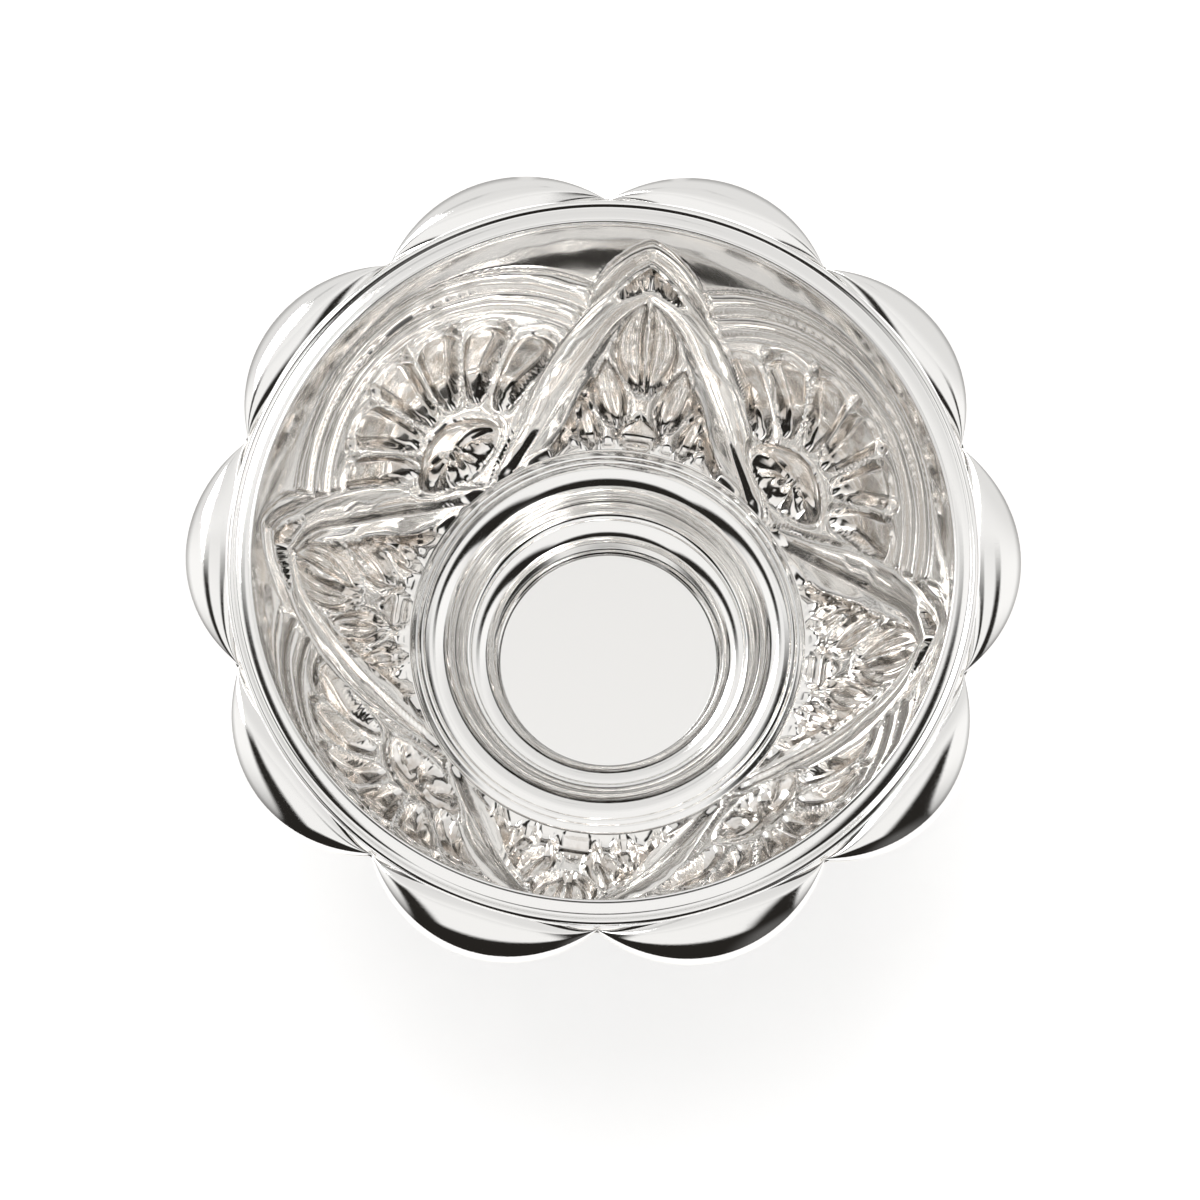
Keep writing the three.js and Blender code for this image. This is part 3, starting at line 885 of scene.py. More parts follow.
# %% Well and plate
lip = [*arc(lip_outer - LIP_EDGE, lip_seat, LIP_EDGE, LIP_EDGE, 0, 90, 8)[:-1], *lip_band()]
ledge = [(bezel_radius, plate_top), (bezel_radius, ledge_top), (bezel_radius - LEDGE_WIDTH, ledge_top),
         (bezel_radius - LEDGE_WIDTH, ledge_bottom), (throat_inner + WELL_SHEET, ledge_bottom)]
centring_ring = [(neck - WELL_SHEET, lip_seat), (neck - WELL_SHEET, lip_seat - NECK_DROP),
                 (neck, lip_seat - NECK_DROP), (neck, lip_seat)]
well_outline = [*lip, *well_side(0, 24), (throat_inner, throat_bottom), *ledge,
                (throat_inner + WELL_SHEET, throat_bottom), *well_side(WELL_SHEET, 8)[::-1],
                *centring_ring]
well = turned("well_spun", softened(well_outline, 0.2))
dress(well, "polished_silver", "well_step")

plate_outline = [(0, plate_bottom), (plate_radius, plate_bottom), (plate_radius, plate_top), (0, plate_top)]
plate = turned("well_plate_flat", softened(plate_outline, 0.15))
dress(plate, "mirror_silver", "well_plate")


# %% [markdown]
# ## Mouth ring
# A moulded wire is soldered over the seam between wall and border. From the inside out it has a
# fine bead, a band that falls a little, a valley, and a round rib beside the lobes. Such wire is
# drawn through a shaped plate, so its section is the same all round, and turning one outline gives
# just that. The band is crowned by less than a tenth of a millimetre, so that it doesn't mirror
# as one dead flat strip.

# %% Mouth ring
RING_FALL = 0.3
RING_BEAD = 0.5
BAND_START = 1.1
BAND_END = 3.8
BAND_FALL = 0.3
BAND_CROWN = 0.08
RIB_RADIUS = 1.1
VALLEY = (0.35, 0.45)


def on_band(share):
    """A place of the band, from the bead to the valley."""
    along = BAND_START + (BAND_END - BAND_START) * share
    level = mouth_top - RING_BEAD - BAND_FALL * share + BAND_CROWN * 4 * share * (1 - share)
    return MOUTH_RADIUS + along, level


rib_middle = (ring_outer - RIB_RADIUS, mouth_top - RING_FALL - RIB_RADIUS)
rib = arc(*rib_middle, RIB_RADIUS, RIB_RADIUS, 145, 0, 24)
valley = bezier(on_band(1), (rib[0][0] - VALLEY[0], rib[0][1] - VALLEY[1]), rib[0], 10)
ring_outline = [
    (MOUTH_RADIUS, ring_bottom),
    *arc(MOUTH_RADIUS + RING_BEAD, mouth_top - RING_BEAD, RING_BEAD, RING_BEAD, 180, 0, 12),
    *[on_band(share) for share in np.linspace(0, 1, 15)[:-1]], *valley[:-1], *rib,
    (ring_outer, ring_bottom)]
ring = turned("mouth_ring_moulded", softened(ring_outline, 0.12))
dress(ring, "polished_silver", "mouth_ring")


# %% [markdown]
# ## Lobed border
# Ten lobes are beaten out of one flat ring of sheet. In plan the edge of each lobe is an arc
# through two cusps. In section each lobe swells a little from the ring, then rounds over and
# turns down. Where two lobes meet, the sheet is pinched to a sharp little valley, and a fold runs
# from there along the ring. One lobe could be modelled by hand and copied round, but then the ten
# seams would have to be hidden. The whole form follows a rule, so a Geometry Nodes tree makes it
# from a flat grid: X of the grid runs round the border and Y runs across it. Solidify then gives
# the sheet its thickness.

# %% Border rule
LOBES = 10
CUSP_REACH = 0.9
CUSP_DROP = 2.3
LOBE_DROP = 4.4
CREST_SHARE = 0.30
LOBE_RISE = 2.8
CUSP_PINCH = 1.5
ROOT_FOLD = 1.5
LOBE_COLUMNS = 56
BORDER_ROWS = 30

cusp_radius = ring_outer + CUSP_REACH
root_radius = ring_outer + SEAM
half_lobe = math.pi / LOBES
lobe_centre = (lobe_radius ** 2 - cusp_radius ** 2) / (2 * (lobe_radius - cusp_radius * math.cos(half_lobe)))
lobe_arc = lobe_radius - lobe_centre


def lobe_edge(angle):
    """Radius and level of the border's edge at an angle from the middle of its lobe."""
    side = lobe_centre * math.sin(angle)
    radius = lobe_centre * math.cos(angle) + math.sqrt(lobe_arc ** 2 - side ** 2)
    fullness = (radius - cusp_radius) / (lobe_radius - cusp_radius)
    return radius, root_top - CUSP_DROP - (LOBE_DROP - CUSP_DROP) * fullness


print("cusps", round(cusp_radius, 2), "mm out, lobes drawn with", round(lobe_arc, 2), "mm radius")


# %% Nodes for one place of the border
EVEN_SHARE = 0.35
SWELL_FADE = 2.4
CUSP_POWER = 3
FOLD_POWER = 1.6
FOLD_FADE = 4


def lobe_place(t, given, around):
    """Angle in the lobe, as a share of the lobe and in radians, and the angle round the bowl."""
    lobe = t.minus(t.math("FRACT", t.times(around, given["Lobes"])), 0.5)
    eased = t.times(t.math("SINE", t.times(lobe, math.pi)), 0.5)
    share = t.plus(t.times(lobe, EVEN_SHARE), t.times(eased, 1 - EVEN_SHARE))
    step = t.math("DIVIDE", 2 * math.pi, given["Lobes"])
    local = t.times(share, step)
    number = t.math("FLOOR", t.times(around, given["Lobes"]))
    return share, local, t.plus(local, t.times(number, step))


def edge_nodes(t, given, local):
    """Radius of the border's edge, and how far the edge drops there."""
    side = t.times(given["Lobe Centre"], t.math("SINE", local))
    root = t.math("SQRT", t.minus(t.math("POWER", given["Lobe Arc"], 2), t.math("POWER", side, 2)))
    edge = t.plus(t.times(given["Lobe Centre"], t.math("COSINE", local)), root)
    reach = t.minus(t.plus(given["Lobe Centre"], given["Lobe Arc"]), given["Cusp Radius"])
    fullness = t.math("DIVIDE", t.minus(edge, given["Cusp Radius"]), reach)
    deeper = t.times(t.minus(given["Lobe Drop"], given["Cusp Drop"]), fullness)
    return edge, t.plus(given["Cusp Drop"], deeper)


def section_nodes(t, given, across, edge, drop):
    """Radius of a place between ring and edge, and how far it has turned down."""
    rest = t.minus(1, given["Crest Share"])
    first = t.math("ARCSINE", t.math("DIVIDE", given["Crest Share"], rest))
    turn = t.minus(t.times(across, t.plus(first, math.pi / 2)), first)
    out_share = t.plus(given["Crest Share"], t.times(rest, t.math("SINE", turn)))
    width = t.minus(edge, given["Root Radius"])
    lowered = t.minus(1, t.math("DIVIDE", t.math("COSINE", turn), t.math("COSINE", first)))
    return t.plus(given["Root Radius"], t.times(width, out_share)), t.times(drop, lowered)


def swell_and_fold(t, given, across, share):
    """How far the sheet swells up, and how far it is folded down beside the ring."""
    from_middle = t.times(t.math("ABSOLUTE", share), 2)
    to_cusp = t.math("POWER", from_middle, CUSP_POWER)
    swell = t.minus(t.times(given["Rise"], t.minus(1, to_cusp)), given["Pinch"])
    swell = t.times(swell, t.minus(1, t.math("POWER", across, SWELL_FADE)))
    to_end = t.math("POWER", from_middle, FOLD_POWER)
    fold = t.times(t.math("POWER", t.minus(1, across), FOLD_FADE), to_end)
    return swell, t.times(given["Fold"], fold)


print("columns in each lobe:", LOBE_COLUMNS, "rows:", BORDER_ROWS)


# %% Tree of the border
BORDER_SIZES = ("Root Radius", "Cusp Radius", "Lobe Centre", "Lobe Arc", "Root Level", "Cusp Drop",
                "Lobe Drop", "Crest Share", "Rise", "Pinch", "Fold")


def border_tree():
    """The outer skin of the border, as a grid bent round the axis by the border's rule."""
    t, given, out = group("lobed_border", "GeometryNodeTree",
                          [("Lobes", "Int", LOBES), *[(label, "Float", 0.01) for label in BORDER_SIZES],
                           ("Finish", "Material", None)], [("Geometry", "Geometry")])
    columns = t.plus(t.times(given["Lobes"], LOBE_COLUMNS), 1)
    grid = t.node("GeometryNodeMeshGrid", {"Size X": 1.0, "Size Y": 1.0, "Vertices X": columns,
                                           "Vertices Y": BORDER_ROWS + 1})
    place = t.node("ShaderNodeSeparateXYZ", {0: t.node("GeometryNodeInputPosition").outputs[0]}).outputs
    across = t.plus(place[1], 0.5)
    share, local, angle = lobe_place(t, given, t.plus(place[0], 0.5))
    edge, drop = edge_nodes(t, given, local)
    radius, fall = section_nodes(t, given, across, edge, drop)
    swell, fold = swell_and_fold(t, given, across, share)
    level = t.minus(t.plus(given["Root Level"], swell), t.plus(fall, fold))
    bent = t.node("ShaderNodeCombineXYZ", {0: t.times(radius, t.math("COSINE", angle)),
                                           1: t.times(radius, t.math("SINE", angle)), 2: level})
    moved = t.node("GeometryNodeSetPosition", {"Geometry": grid.outputs[0], "Position": bent.outputs[0]})
    closed = t.node("GeometryNodeMergeByDistance", {"Geometry": moved.outputs[0], "Distance": SAME_PLACE})
    t.feed(out[0], finished(t, closed.outputs[0], given["Finish"]))
    return t.tree


border_rule = border_tree()
print("nodes in the tree:", len(border_rule.nodes))


# %% Border
border = by_nodes("lobed_border_beaten", border_rule, {
    "Root Radius": root_radius * MM, "Cusp Radius": cusp_radius * MM, "Lobe Centre": lobe_centre * MM,
    "Lobe Arc": lobe_arc * MM, "Root Level": root_top * MM, "Cusp Drop": CUSP_DROP * MM,
    "Lobe Drop": LOBE_DROP * MM, "Crest Share": CREST_SHARE, "Rise": LOBE_RISE * MM,
    "Pinch": CUSP_PINCH * MM, "Fold": ROOT_FOLD * MM, "Finish": finish["polished_silver"]})
if np.mean([f.normal.z for f in border.data.polygons]) < 0:
    border.data.flip_normals()
sheet = border.modifiers.new("sheet", "SOLIDIFY")
sheet.thickness = BORDER_SHEET * MM
sheet.offset = -1
plain(border)
dress(border, "polished_silver", "lobed_border")
print("border across", round(border.dimensions.x / MM, 2), "mm")


# %% [markdown]
# ## Edge wires
# A fine wire stiffens the edge of each lobe. It can't be bent round a sharp cusp, so each lobe
# has a length of its own, mitred against its neighbours. One tree with all ten in it would be
# shorter, but they are ten pieces in the frame. So each piece starts as its own line of points,
# and the tree sweeps a round section along that line and closes both ends.

# %% Tree of an edge wire
WIRE_RADIUS = 0.8
WIRE_POINTS = 49


def edge_wire_tree():
    """A wire along the piece's own line of points, with closed ends."""
    t, given, out = group("edge_wire", "GeometryNodeTree",
                          [("Path", "Geometry", None), ("Wire Radius", "Float", 0.001),
                           ("Finish", "Material", None)], [("Geometry", "Geometry")])
    path = t.node("GeometryNodeMeshToCurve", {0: given["Path"]})
    section = t.node("GeometryNodeCurvePrimitiveCircle", {"Resolution": 20, "Radius": given["Wire Radius"]})
    swept = t.node("GeometryNodeCurveToMesh", {"Curve": path.outputs[0], "Profile Curve": section.outputs[0],
                                               "Fill Caps": True})
    t.feed(out[0], finished(t, swept.outputs[0], given["Finish"]))
    return t.tree


wire_tree = edge_wire_tree()
print("edge wire", 2 * WIRE_RADIUS, "mm thick")


# %% Edge wires
def wire_path(lobe):
    """Points along the edge of one lobe, under the sheet's edge."""
    reach = half_lobe - SEAM / 2 / cusp_radius
    points = []
    for local in np.linspace(-reach, reach, WIRE_POINTS):
        radius, level = lobe_edge(local)
        angle = 2 * half_lobe * lobe + local
        inward = radius - WIRE_RADIUS
        points.append(Vector((inward * math.cos(angle), inward * math.sin(angle),
                              level - SEAM - WIRE_RADIUS)) * MM)
    return points


for lobe in range(LOBES):
    line = wire_path(lobe)
    number = f"{lobe + 1:02d}"
    path = new_piece("edge_wire_drawn_" + number, line, [(i, i + 1) for i in range(len(line) - 1)])
    sizes = {"Wire Radius": WIRE_RADIUS * MM, "Finish": finish["silver_wire"]}
    wire = by_nodes(path.name, wire_tree, sizes, path)
    dress(wire, "silver_wire", "edge_wire_" + number)


# %% [markdown]
# ## Chased wall: its line and its pattern
# The wall is raised from one sheet and pushed out from inside. Four pointed arches stand round it.
# Each has an outer band that runs up to its point, and inside it a strap whose halves cross near
# the top, with a sunk corner under the crossing and a palmette below. Between the arches sits half
# a daisy: an eye with flutes, six petals with small pits between their tips, and two bands that
# curve over it. Every form is a hollow inside, and a fine crest is left where two hollows meet.
# Sculpting could give such forms, but these repeat four times and have to stay alike. So the
# pattern is drawn on the unrolled wall, in degrees round the bowl and millimetres of height above
# the wall's foot, and functions turn the drawing into depth.

# %% Wall line
WALL_FOOT_RADIUS = 61.5
WALL_HEIGHT = 97.0
WIDEST_RADIUS = 99.5
CURL_DROP = 1.1
BEND_RADIUS = 1.4

wall_foot = curl_bottom + WALL_SHEET + CURL_DROP
wall_fall = math.acos(WALL_FOOT_RADIUS / WIDEST_RADIUS)
swing = np.linspace(-wall_fall, 0, 2000)
line_r = WIDEST_RADIUS * np.cos(swing)
line_z = wall_foot + WALL_HEIGHT * (1 + np.sin(swing) / math.sin(wall_fall))
line_v = np.concatenate([[0], np.cumsum(np.hypot(np.diff(line_r), np.diff(line_z)))])
wall_length = line_v[-1]
print("wall along its curve:", round(wall_length, 1), "mm")


def along_wall(height):
    """Distance along the wall's curve at a height above its foot."""
    return np.interp(height, line_z - wall_foot, line_v)


def wall_radius(v):
    """Inner radius of the wall at a distance along its curve."""
    return np.interp(v, line_v, line_r)


# %% [markdown]
# ## Chased wall: lines and forms
# A chaser scribes the lines first and works the forms between them afterwards. Here each line is a
# few points, in degrees from the arch's axis and millimetres of height, joined by a smooth curve.
# Each form then needs one thing only: how far a place lies from its edge. From that distance come
# the rounded hollows, the steeper bowls of the petals and the fine crests. A painted height map
# would be less code, but its lines would be only as sharp as its pixels.

# %% Lines of the arch
OUTER_LINE = [(0, 90), (4.3, 80), (7.8, 70), (10.2, 60), (12.3, 49), (18, 36), (26, 21), (34, 9), (45, 0)]
CROSS_LINE = [(0, 76), (2.9, 70), (6.6, 60), (11.9, 48.6), (18, 36), (26, 21), (34, 9), (45, 0)]
KEY_LINE = [(0, 70.3), (2.4, 64), (4.6, 58), (6.4, 51.5)]
CHEVRON_LINE = [(0, 58.5), (2.6, 55), (6.6, 50.5)]
MIDDLE_LINE = [(0, 53), (3.2, 49), (6.8, 42), (11.8, 29.5), (17.5, 19), (27, 7), (37, 0)]
INNER_LINE = [(0, 50.5), (4.3, 42), (8.4, 29), (13, 17), (20, 5), (25.6, 0)]
LINE_STEPS = 60


def drawn(points):
    """A line of (degrees, height) as a smooth line of (mm round the wall, mm along its curve)."""
    angle, height = np.array(points, float).T
    key = np.concatenate([[0], np.cumsum(np.hypot(np.diff(angle), np.diff(height)))])
    t = np.linspace(0, key[-1], LINE_STEPS)

    def smooth(values):
        slopes = np.gradient(values, key)
        i = np.clip(np.searchsorted(key, t, side="right") - 1, 0, len(key) - 2)
        span = key[i + 1] - key[i]
        s = (t - key[i]) / span
        return ((2 * s ** 3 - 3 * s ** 2 + 1) * values[i] + (s ** 3 - 2 * s ** 2 + s) * span * slopes[i]
                + (3 * s ** 2 - 2 * s ** 3) * values[i + 1] + (s ** 3 - s ** 2) * span * slopes[i + 1])

    v = along_wall(smooth(height))
    return np.stack([np.radians(smooth(angle)) * wall_radius(v), v], axis=1)


arch_lines = [drawn(line) for line in
              (OUTER_LINE, CROSS_LINE, KEY_LINE, CHEVRON_LINE, MIDDLE_LINE, INNER_LINE)]
print("arch", round(2 * arch_lines[0][-1, 0], 1), "mm wide at its foot,",
      round(arch_lines[0][0, 1], 1), "mm tall along the wall")


# %% Forms by distance
def inside_line(x, v, line):
    """Distance of each place from a line of an arch, above zero inside the arch."""
    best = np.full(x.shape, np.inf)
    for (x0, v0), (x1, v1) in zip(line[:-1], line[1:]):
        length = (x1 - x0) ** 2 + (v1 - v0) ** 2
        s = np.clip(((x - x0) * (x1 - x0) + (v - v0) * (v1 - v0)) / length, 0, 1)
        best = np.minimum(best, np.hypot(x - x0 - s * (x1 - x0), v - v0 - s * (v1 - v0)))
    edge = np.interp(v, line[::-1, 1], line[::-1, 0], right=-1.0)
    return np.where(x < edge, best, -best)


def ease(value, low, high):
    """Zero below low, one above high, and smooth between."""
    t = np.clip((value - low) / (high - low), 0, 1)
    return t * t * (3 - 2 * t)


def hollow(distance, depth, round_off):
    """A hollow that falls from its rim as a rounded bowl."""
    t = np.clip(distance / round_off, 0, 1)
    return depth * np.sqrt(1 - (1 - t) ** 2)


def bowl_form(distance, half_width, depth):
    """A hollow that is steep at its rim and even over its middle."""
    t = np.clip(distance / (0.5 * half_width), 0, 1)
    return depth * (1 - (1 - t) ** 2)


def crest(distance, height=0.45, width=0.9):
    """A fine crest along the line where the distance is zero, towards the inside."""
    return -height * np.exp(-(distance / width) ** 2)


print("hollow 2 mm deep, 1 mm from its rim:", round(float(hollow(1.0, 2.0, 3.0)), 2), "mm")


# %% [markdown]
# ## Chased wall: the daisy
# Half a daisy fills each space between two arches. Its petals are spoons: narrow at the eye, wide
# and deep at the tip, each with a rounded rim and a fine groove where it meets the next. Petals
# pressed in one by one would leave those rims to be joined by hand. Taking the deepest of all
# petals at each place, and a crest at a small distance outside the nearest one, gives the rims by
# itself. Above the petals two plain bands curve over the flower.

# %% Bands over the daisy
BANDS = ((63.4, 0.0228), (74.0, 0.0216), (84.5, 0.0185))
BAND_DEPTHS = (0.9, 1.3)
BAND_ROUND = 0.7
BAND_CRESTS = (0.45, 0.45, 0.2)
BAND_CREST_WIDTH = 1.1
FLOWER_FIELD = 0.35


def curved_bands(degrees, v):
    """Push outwards of the bands over a daisy, and of the field below them."""
    lines = [along_wall(top - bend * degrees ** 2) for top, bend in BANDS]
    push = np.zeros_like(v)
    for low, high, depth in zip(lines[:-1], lines[1:], BAND_DEPTHS):
        t = np.clip((v - low) / (high - low), 0, 1)
        push = np.maximum(push, depth * np.sin(math.pi * t) ** BAND_ROUND)
    for line, height in zip(lines, BAND_CRESTS):
        push = push + crest(v - line, height, BAND_CREST_WIDTH)
    return push + FLOWER_FIELD * ease(lines[0] - v, 0.3, 2.0)


print("bands over the daisy:", len(BAND_DEPTHS), "up to", max(BAND_DEPTHS), "mm deep")


# %% Petals
PETALS = ((4.7, 57), (14.0, 50.5), (22.8, 40.5))
PETAL_FEET = ((2.7, 27), (8.4, 24.5), (13.0, 18))
PETAL_TIP_RADIUS = 6.8
PETAL_FOOT_RADIUS = 2.3
PETAL_FLARE = 0.65
PETAL_DEPTH = 4.0
PETAL_TILT = 0.5
RIM_OUT = 0.7
RIM_HEIGHT = 1.1
RIM_WIDTH = 1.4
RIM_GROOVE = 0.7
GROOVE_WIDTH = 0.9


def spoon(x, v, base, tip):
    """Distance into a petal that widens from base to tip, its half-width, and the share of its length."""
    run = np.array(tip) - np.array(base)
    share = np.clip(((x - base[0]) * run[0] + (v - base[1]) * run[1]) / (run @ run), 0, 1)
    away = np.hypot(x - base[0] - share * run[0], v - base[1] - share * run[1])
    half_width = PETAL_FOOT_RADIUS + (PETAL_TIP_RADIUS - PETAL_FOOT_RADIUS) * share ** PETAL_FLARE
    return half_width - away, half_width, share


def petal_forms(x, v):
    """Depth of the petals, and the push of the rims and grooves between them."""
    hollows = np.zeros_like(v)
    petals = []
    for (tip_angle, tip_height), (foot_angle, foot_height) in zip(PETALS, PETAL_FEET):
        for side in (-1, 1):
            ends = []
            for angle, height, inset in ((foot_angle, foot_height, PETAL_FOOT_RADIUS),
                                         (tip_angle, tip_height, -PETAL_TIP_RADIUS)):
                at = along_wall(height) + inset
                ends.append((side * math.radians(angle) * wall_radius(at), at))
            d, half_width, share = spoon(x, v, *ends)
            deep = PETAL_DEPTH * ease(share, -0.15, 0.35) * (1 - PETAL_TILT * share)
            hollows = np.maximum(hollows, bowl_form(d, half_width, deep))
            petals.append(d)
    second, nearest = np.sort(petals, axis=0)[-2:]
    between = ease(-nearest, 0.2, 1.0) * ease(nearest, -2.6, -1.2)
    rims = crest(nearest + RIM_OUT, RIM_HEIGHT, RIM_WIDTH)
    return hollows, rims + RIM_GROOVE * between * np.exp(-((nearest - second) / GROOVE_WIDTH) ** 2)


print("petals in each daisy:", 2 * len(PETALS))


# %% Pits between the petal tips
PITS = ((0, 60.0), (9.4, 55.8), (19.2, 47.2))
PIT_RADIUS = 2.0
PIT_DEPTH = 1.0


def with_pits(hollows, x, v):
    """The hollows of the petals with the small round pits between their tips."""
    for angle, height in PITS:
        for side in (-1, 1):
            at = along_wall(height)
            d = PIT_RADIUS - np.hypot(x - side * math.radians(angle) * wall_radius(at), v - at)
            hollows = np.maximum(hollows, bowl_form(d, PIT_RADIUS, PIT_DEPTH))
    return hollows


print("pits in each daisy:", 2 * len(PITS) - 1)


# %% Eye, and the whole daisy
EYE = (1.8, 13.8)
EYE_SIZE = (16.0, 11.0)
EYE_SQUARE = 1.7
EYE_DEPTH = 3.4
EYE_FLUTES = 7
FLUTE_DEPTH = 1.5
FAN_CENTRE = 0.15
EYE_CREST = (0.7, 1.0)


def eye_form(x, v):
    """Depth of the fluted eye, and the distance into it."""
    eye_v = along_wall(EYE[1])
    eye_x = math.radians(EYE[0]) * wall_radius(eye_v)
    dx, dv = (x - eye_x) / EYE_SIZE[0], (v - eye_v) / EYE_SIZE[1]
    out = (np.abs(dx) ** EYE_SQUARE + np.abs(dv) ** EYE_SQUARE) ** (1 / EYE_SQUARE)
    d = (1 - out) * min(EYE_SIZE)
    fan = np.arctan2(dv + FAN_CENTRE, dx)
    flutes = FLUTE_DEPTH * np.abs(np.sin(EYE_FLUTES * fan / 2))
    flutes = flutes * ease(-dv, -0.1, 0.15) * ease(out, 0.05, 0.35)
    return bowl_form(d, min(EYE_SIZE), EYE_DEPTH) - flutes * ease(d, 0.3, 2.0), d


def daisy(degrees, x, v):
    """Push outwards of bands, petals and eye, depth of the hollows, and distance into the eye."""
    push = curved_bands(degrees, v)
    hollows, rims = petal_forms(x, v)
    hollows = with_pits(hollows, x, v)
    eye, d = eye_form(x, v)
    push = np.where(d > 0, 0, push + hollows) + np.where(d > 0, eye, 0)
    push = push + np.where(d > 0.8, 0, rims) + crest(d, *EYE_CREST)
    return push, hollows + np.where(d > 0, eye, 0), d


print("eye", 2 * EYE_SIZE[0], "mm wide,", EYE_DEPTH, "mm deep")


# %% [markdown]
# ## Chased wall: the arch
# The arch lies over the daisies beside it. From the outside in it has the outer band, the crossing
# strap, a bevel, and a sunk field that holds the palmette. Two channels run down along the field
# at the arch's feet. The bands could be swept along the lines as wires, but on chased work they
# are the same sheet as the ground. So each place takes the form between the two lines that it lies
# in, and the crests on the lines are added over all.

# %% Straps of the arch
BAND_DEPTH = 1.5
STRAP_DEPTH = 1.1
STRAP_ROUND = 0.6
KEY_DEPTH = 1.2
KEY_SLOPE = 0.36
KEY_DEEPEST = 4.4
KEY_TOP = 70
FIELD_DEPTH = 2.2
FIELD_LOWER = 0.8
BEVEL_CURVE = 1.4
CHANNEL_DEPTH = 3.6
CHANNEL_IN = 1.6
CHANNEL_WIDTH = 1.5
CHANNEL_ENDS = (24, 12)
LINE_CRESTS = (0.5, 0.5, 0.5, 0.3, 0.3)


def across_strap(outside, inside):
    """The place between two lines of the arch, from zero on the first to one on the second."""
    return np.clip(outside / np.maximum(outside - inside, 1e-3), 0, 1)


def strap_forms(x, v):
    """Push outwards of straps, bevel and field, and the arch's masks: edge, field, channel, corner."""
    outer, cross, key, chevron, middle, inner = (inside_line(np.abs(x), v, line) for line in arch_lines)
    band = BAND_DEPTH * np.sin(math.pi * across_strap(outer, cross)) ** STRAP_ROUND
    strap = STRAP_DEPTH * np.sin(math.pi * across_strap(cross, middle)) ** STRAP_ROUND
    recess = np.minimum(key, -chevron)
    deep_key = np.clip(KEY_DEPTH + KEY_SLOPE * (along_wall(KEY_TOP) - v), KEY_DEPTH, KEY_DEEPEST)
    in_key = ease(recess, 0, 1.0)
    strap = strap + (deep_key - strap) * in_key
    bevel = FIELD_DEPTH * across_strap(middle, inner) ** BEVEL_CURVE
    low = ease(-v, -along_wall(CHANNEL_ENDS[0]), -along_wall(CHANNEL_ENDS[1]))
    channel = CHANNEL_DEPTH * low * np.exp(-((inner - CHANNEL_IN) / CHANNEL_WIDTH) ** 2)
    push = np.where(inner > 0, FIELD_DEPTH + FIELD_LOWER * low, 0)
    push = np.where((inner <= 0) & (middle > 0), bevel, push)
    push = np.where((middle <= 0) & (cross > 0), strap, push)
    push = np.where(cross <= 0, band, push) + channel
    for distance, height in zip((outer, cross, recess, middle, inner), LINE_CRESTS):
        push = push + crest(distance, height)
    return push, outer, inner, channel, in_key


print("outer band", BAND_DEPTH, "mm deep, strap", STRAP_DEPTH, "mm, sunk corner up to", KEY_DEEPEST, "mm")


# %% Palmette, and the whole arch
# Each leaf: foot and tip as (degrees, height), half-width in mm, and how far its middle bows out
LEAVES = (((1.2, 15), (0.4, 49.5), 4.6, 4.2),
          ((5.6, 5.0), (8.6, 26), 4.8, 0.8),
          ((12.4, -2), (14.2, 11.5), 3.2, 0.4))
LEAF_DEPTH = 2.1
LEAF_ROUND = 3.2
LEAF_RIM = (1.3, 1.05)
VEIN = (0.5, 0.8)
KEYHOLE = ((0, -3.5), (0, 7.0), 7.0)
KEYHOLE_DEPTH = 1.6
KEYHOLE_ROUND = 2.5
KEYHOLE_RIM = (1.2, 1.0)


def leaf(x, v, foot, tip, half_width, bow):
    """Distance into a pointed leaf, and its distance from the midrib."""
    ends = [(math.radians(a) * wall_radius(along_wall(h)), along_wall(h)) for a, h in (foot, tip)]
    run = np.array(ends[1]) - np.array(ends[0])
    length = np.linalg.norm(run)
    run /= length
    along = (x - ends[0][0]) * run[0] + (v - ends[0][1]) * run[1]
    share = np.clip(along / length, 0, 1)
    rib = (x - ends[0][0]) * run[1] - (v - ends[0][1]) * run[0] - bow * np.sin(math.pi * share)
    width = half_width * np.sin(math.pi * share ** 0.8) ** 0.7
    past = np.maximum(0, np.maximum(-along, along - length))
    return np.where(past > 0, -np.hypot(past, rib), width - np.abs(rib)), rib


def palmette(x, v):
    """Depth of the leaves and of the keyhole at the foot, and the push of their rims."""
    leaves = np.zeros_like(v)
    rims = np.zeros_like(v)
    for foot_end, tip_end, half_width, bow in LEAVES:
        for side in (-1, 1):
            d, rib = leaf(side * x, v, foot_end, tip_end, half_width, bow)
            vein = VEIN[0] * np.exp(-(rib / VEIN[1]) ** 2) * ease(d, 0.5, 2.0)
            leaves = np.maximum(leaves, hollow(d, LEAF_DEPTH, LEAF_ROUND) - vein)
            rims = np.minimum(rims, crest(d, *LEAF_RIM))
    d, _ = leaf(x, v, *KEYHOLE, 0)
    leaves = np.maximum(leaves, hollow(d, KEYHOLE_DEPTH, KEYHOLE_ROUND))
    return leaves, np.minimum(rims, crest(d, *KEYHOLE_RIM))


def arch(x, v):
    """Push outwards of straps and palmette, distance into the arch, and depth of the hollows for the painted
    shade.
    """
    push, outer, inner, channel, in_key = strap_forms(x, v)
    leaves, rims = palmette(x, v)
    inside = ease(inner, 0.2, 1.2)
    # The sunk corner counts as deep, so that it takes the painted shade in full.
    return push + inside * (leaves + rims), outer, leaves * inside + channel + 2.5 * in_key


print("leaves in each palmette:", 2 * len(LEAVES))
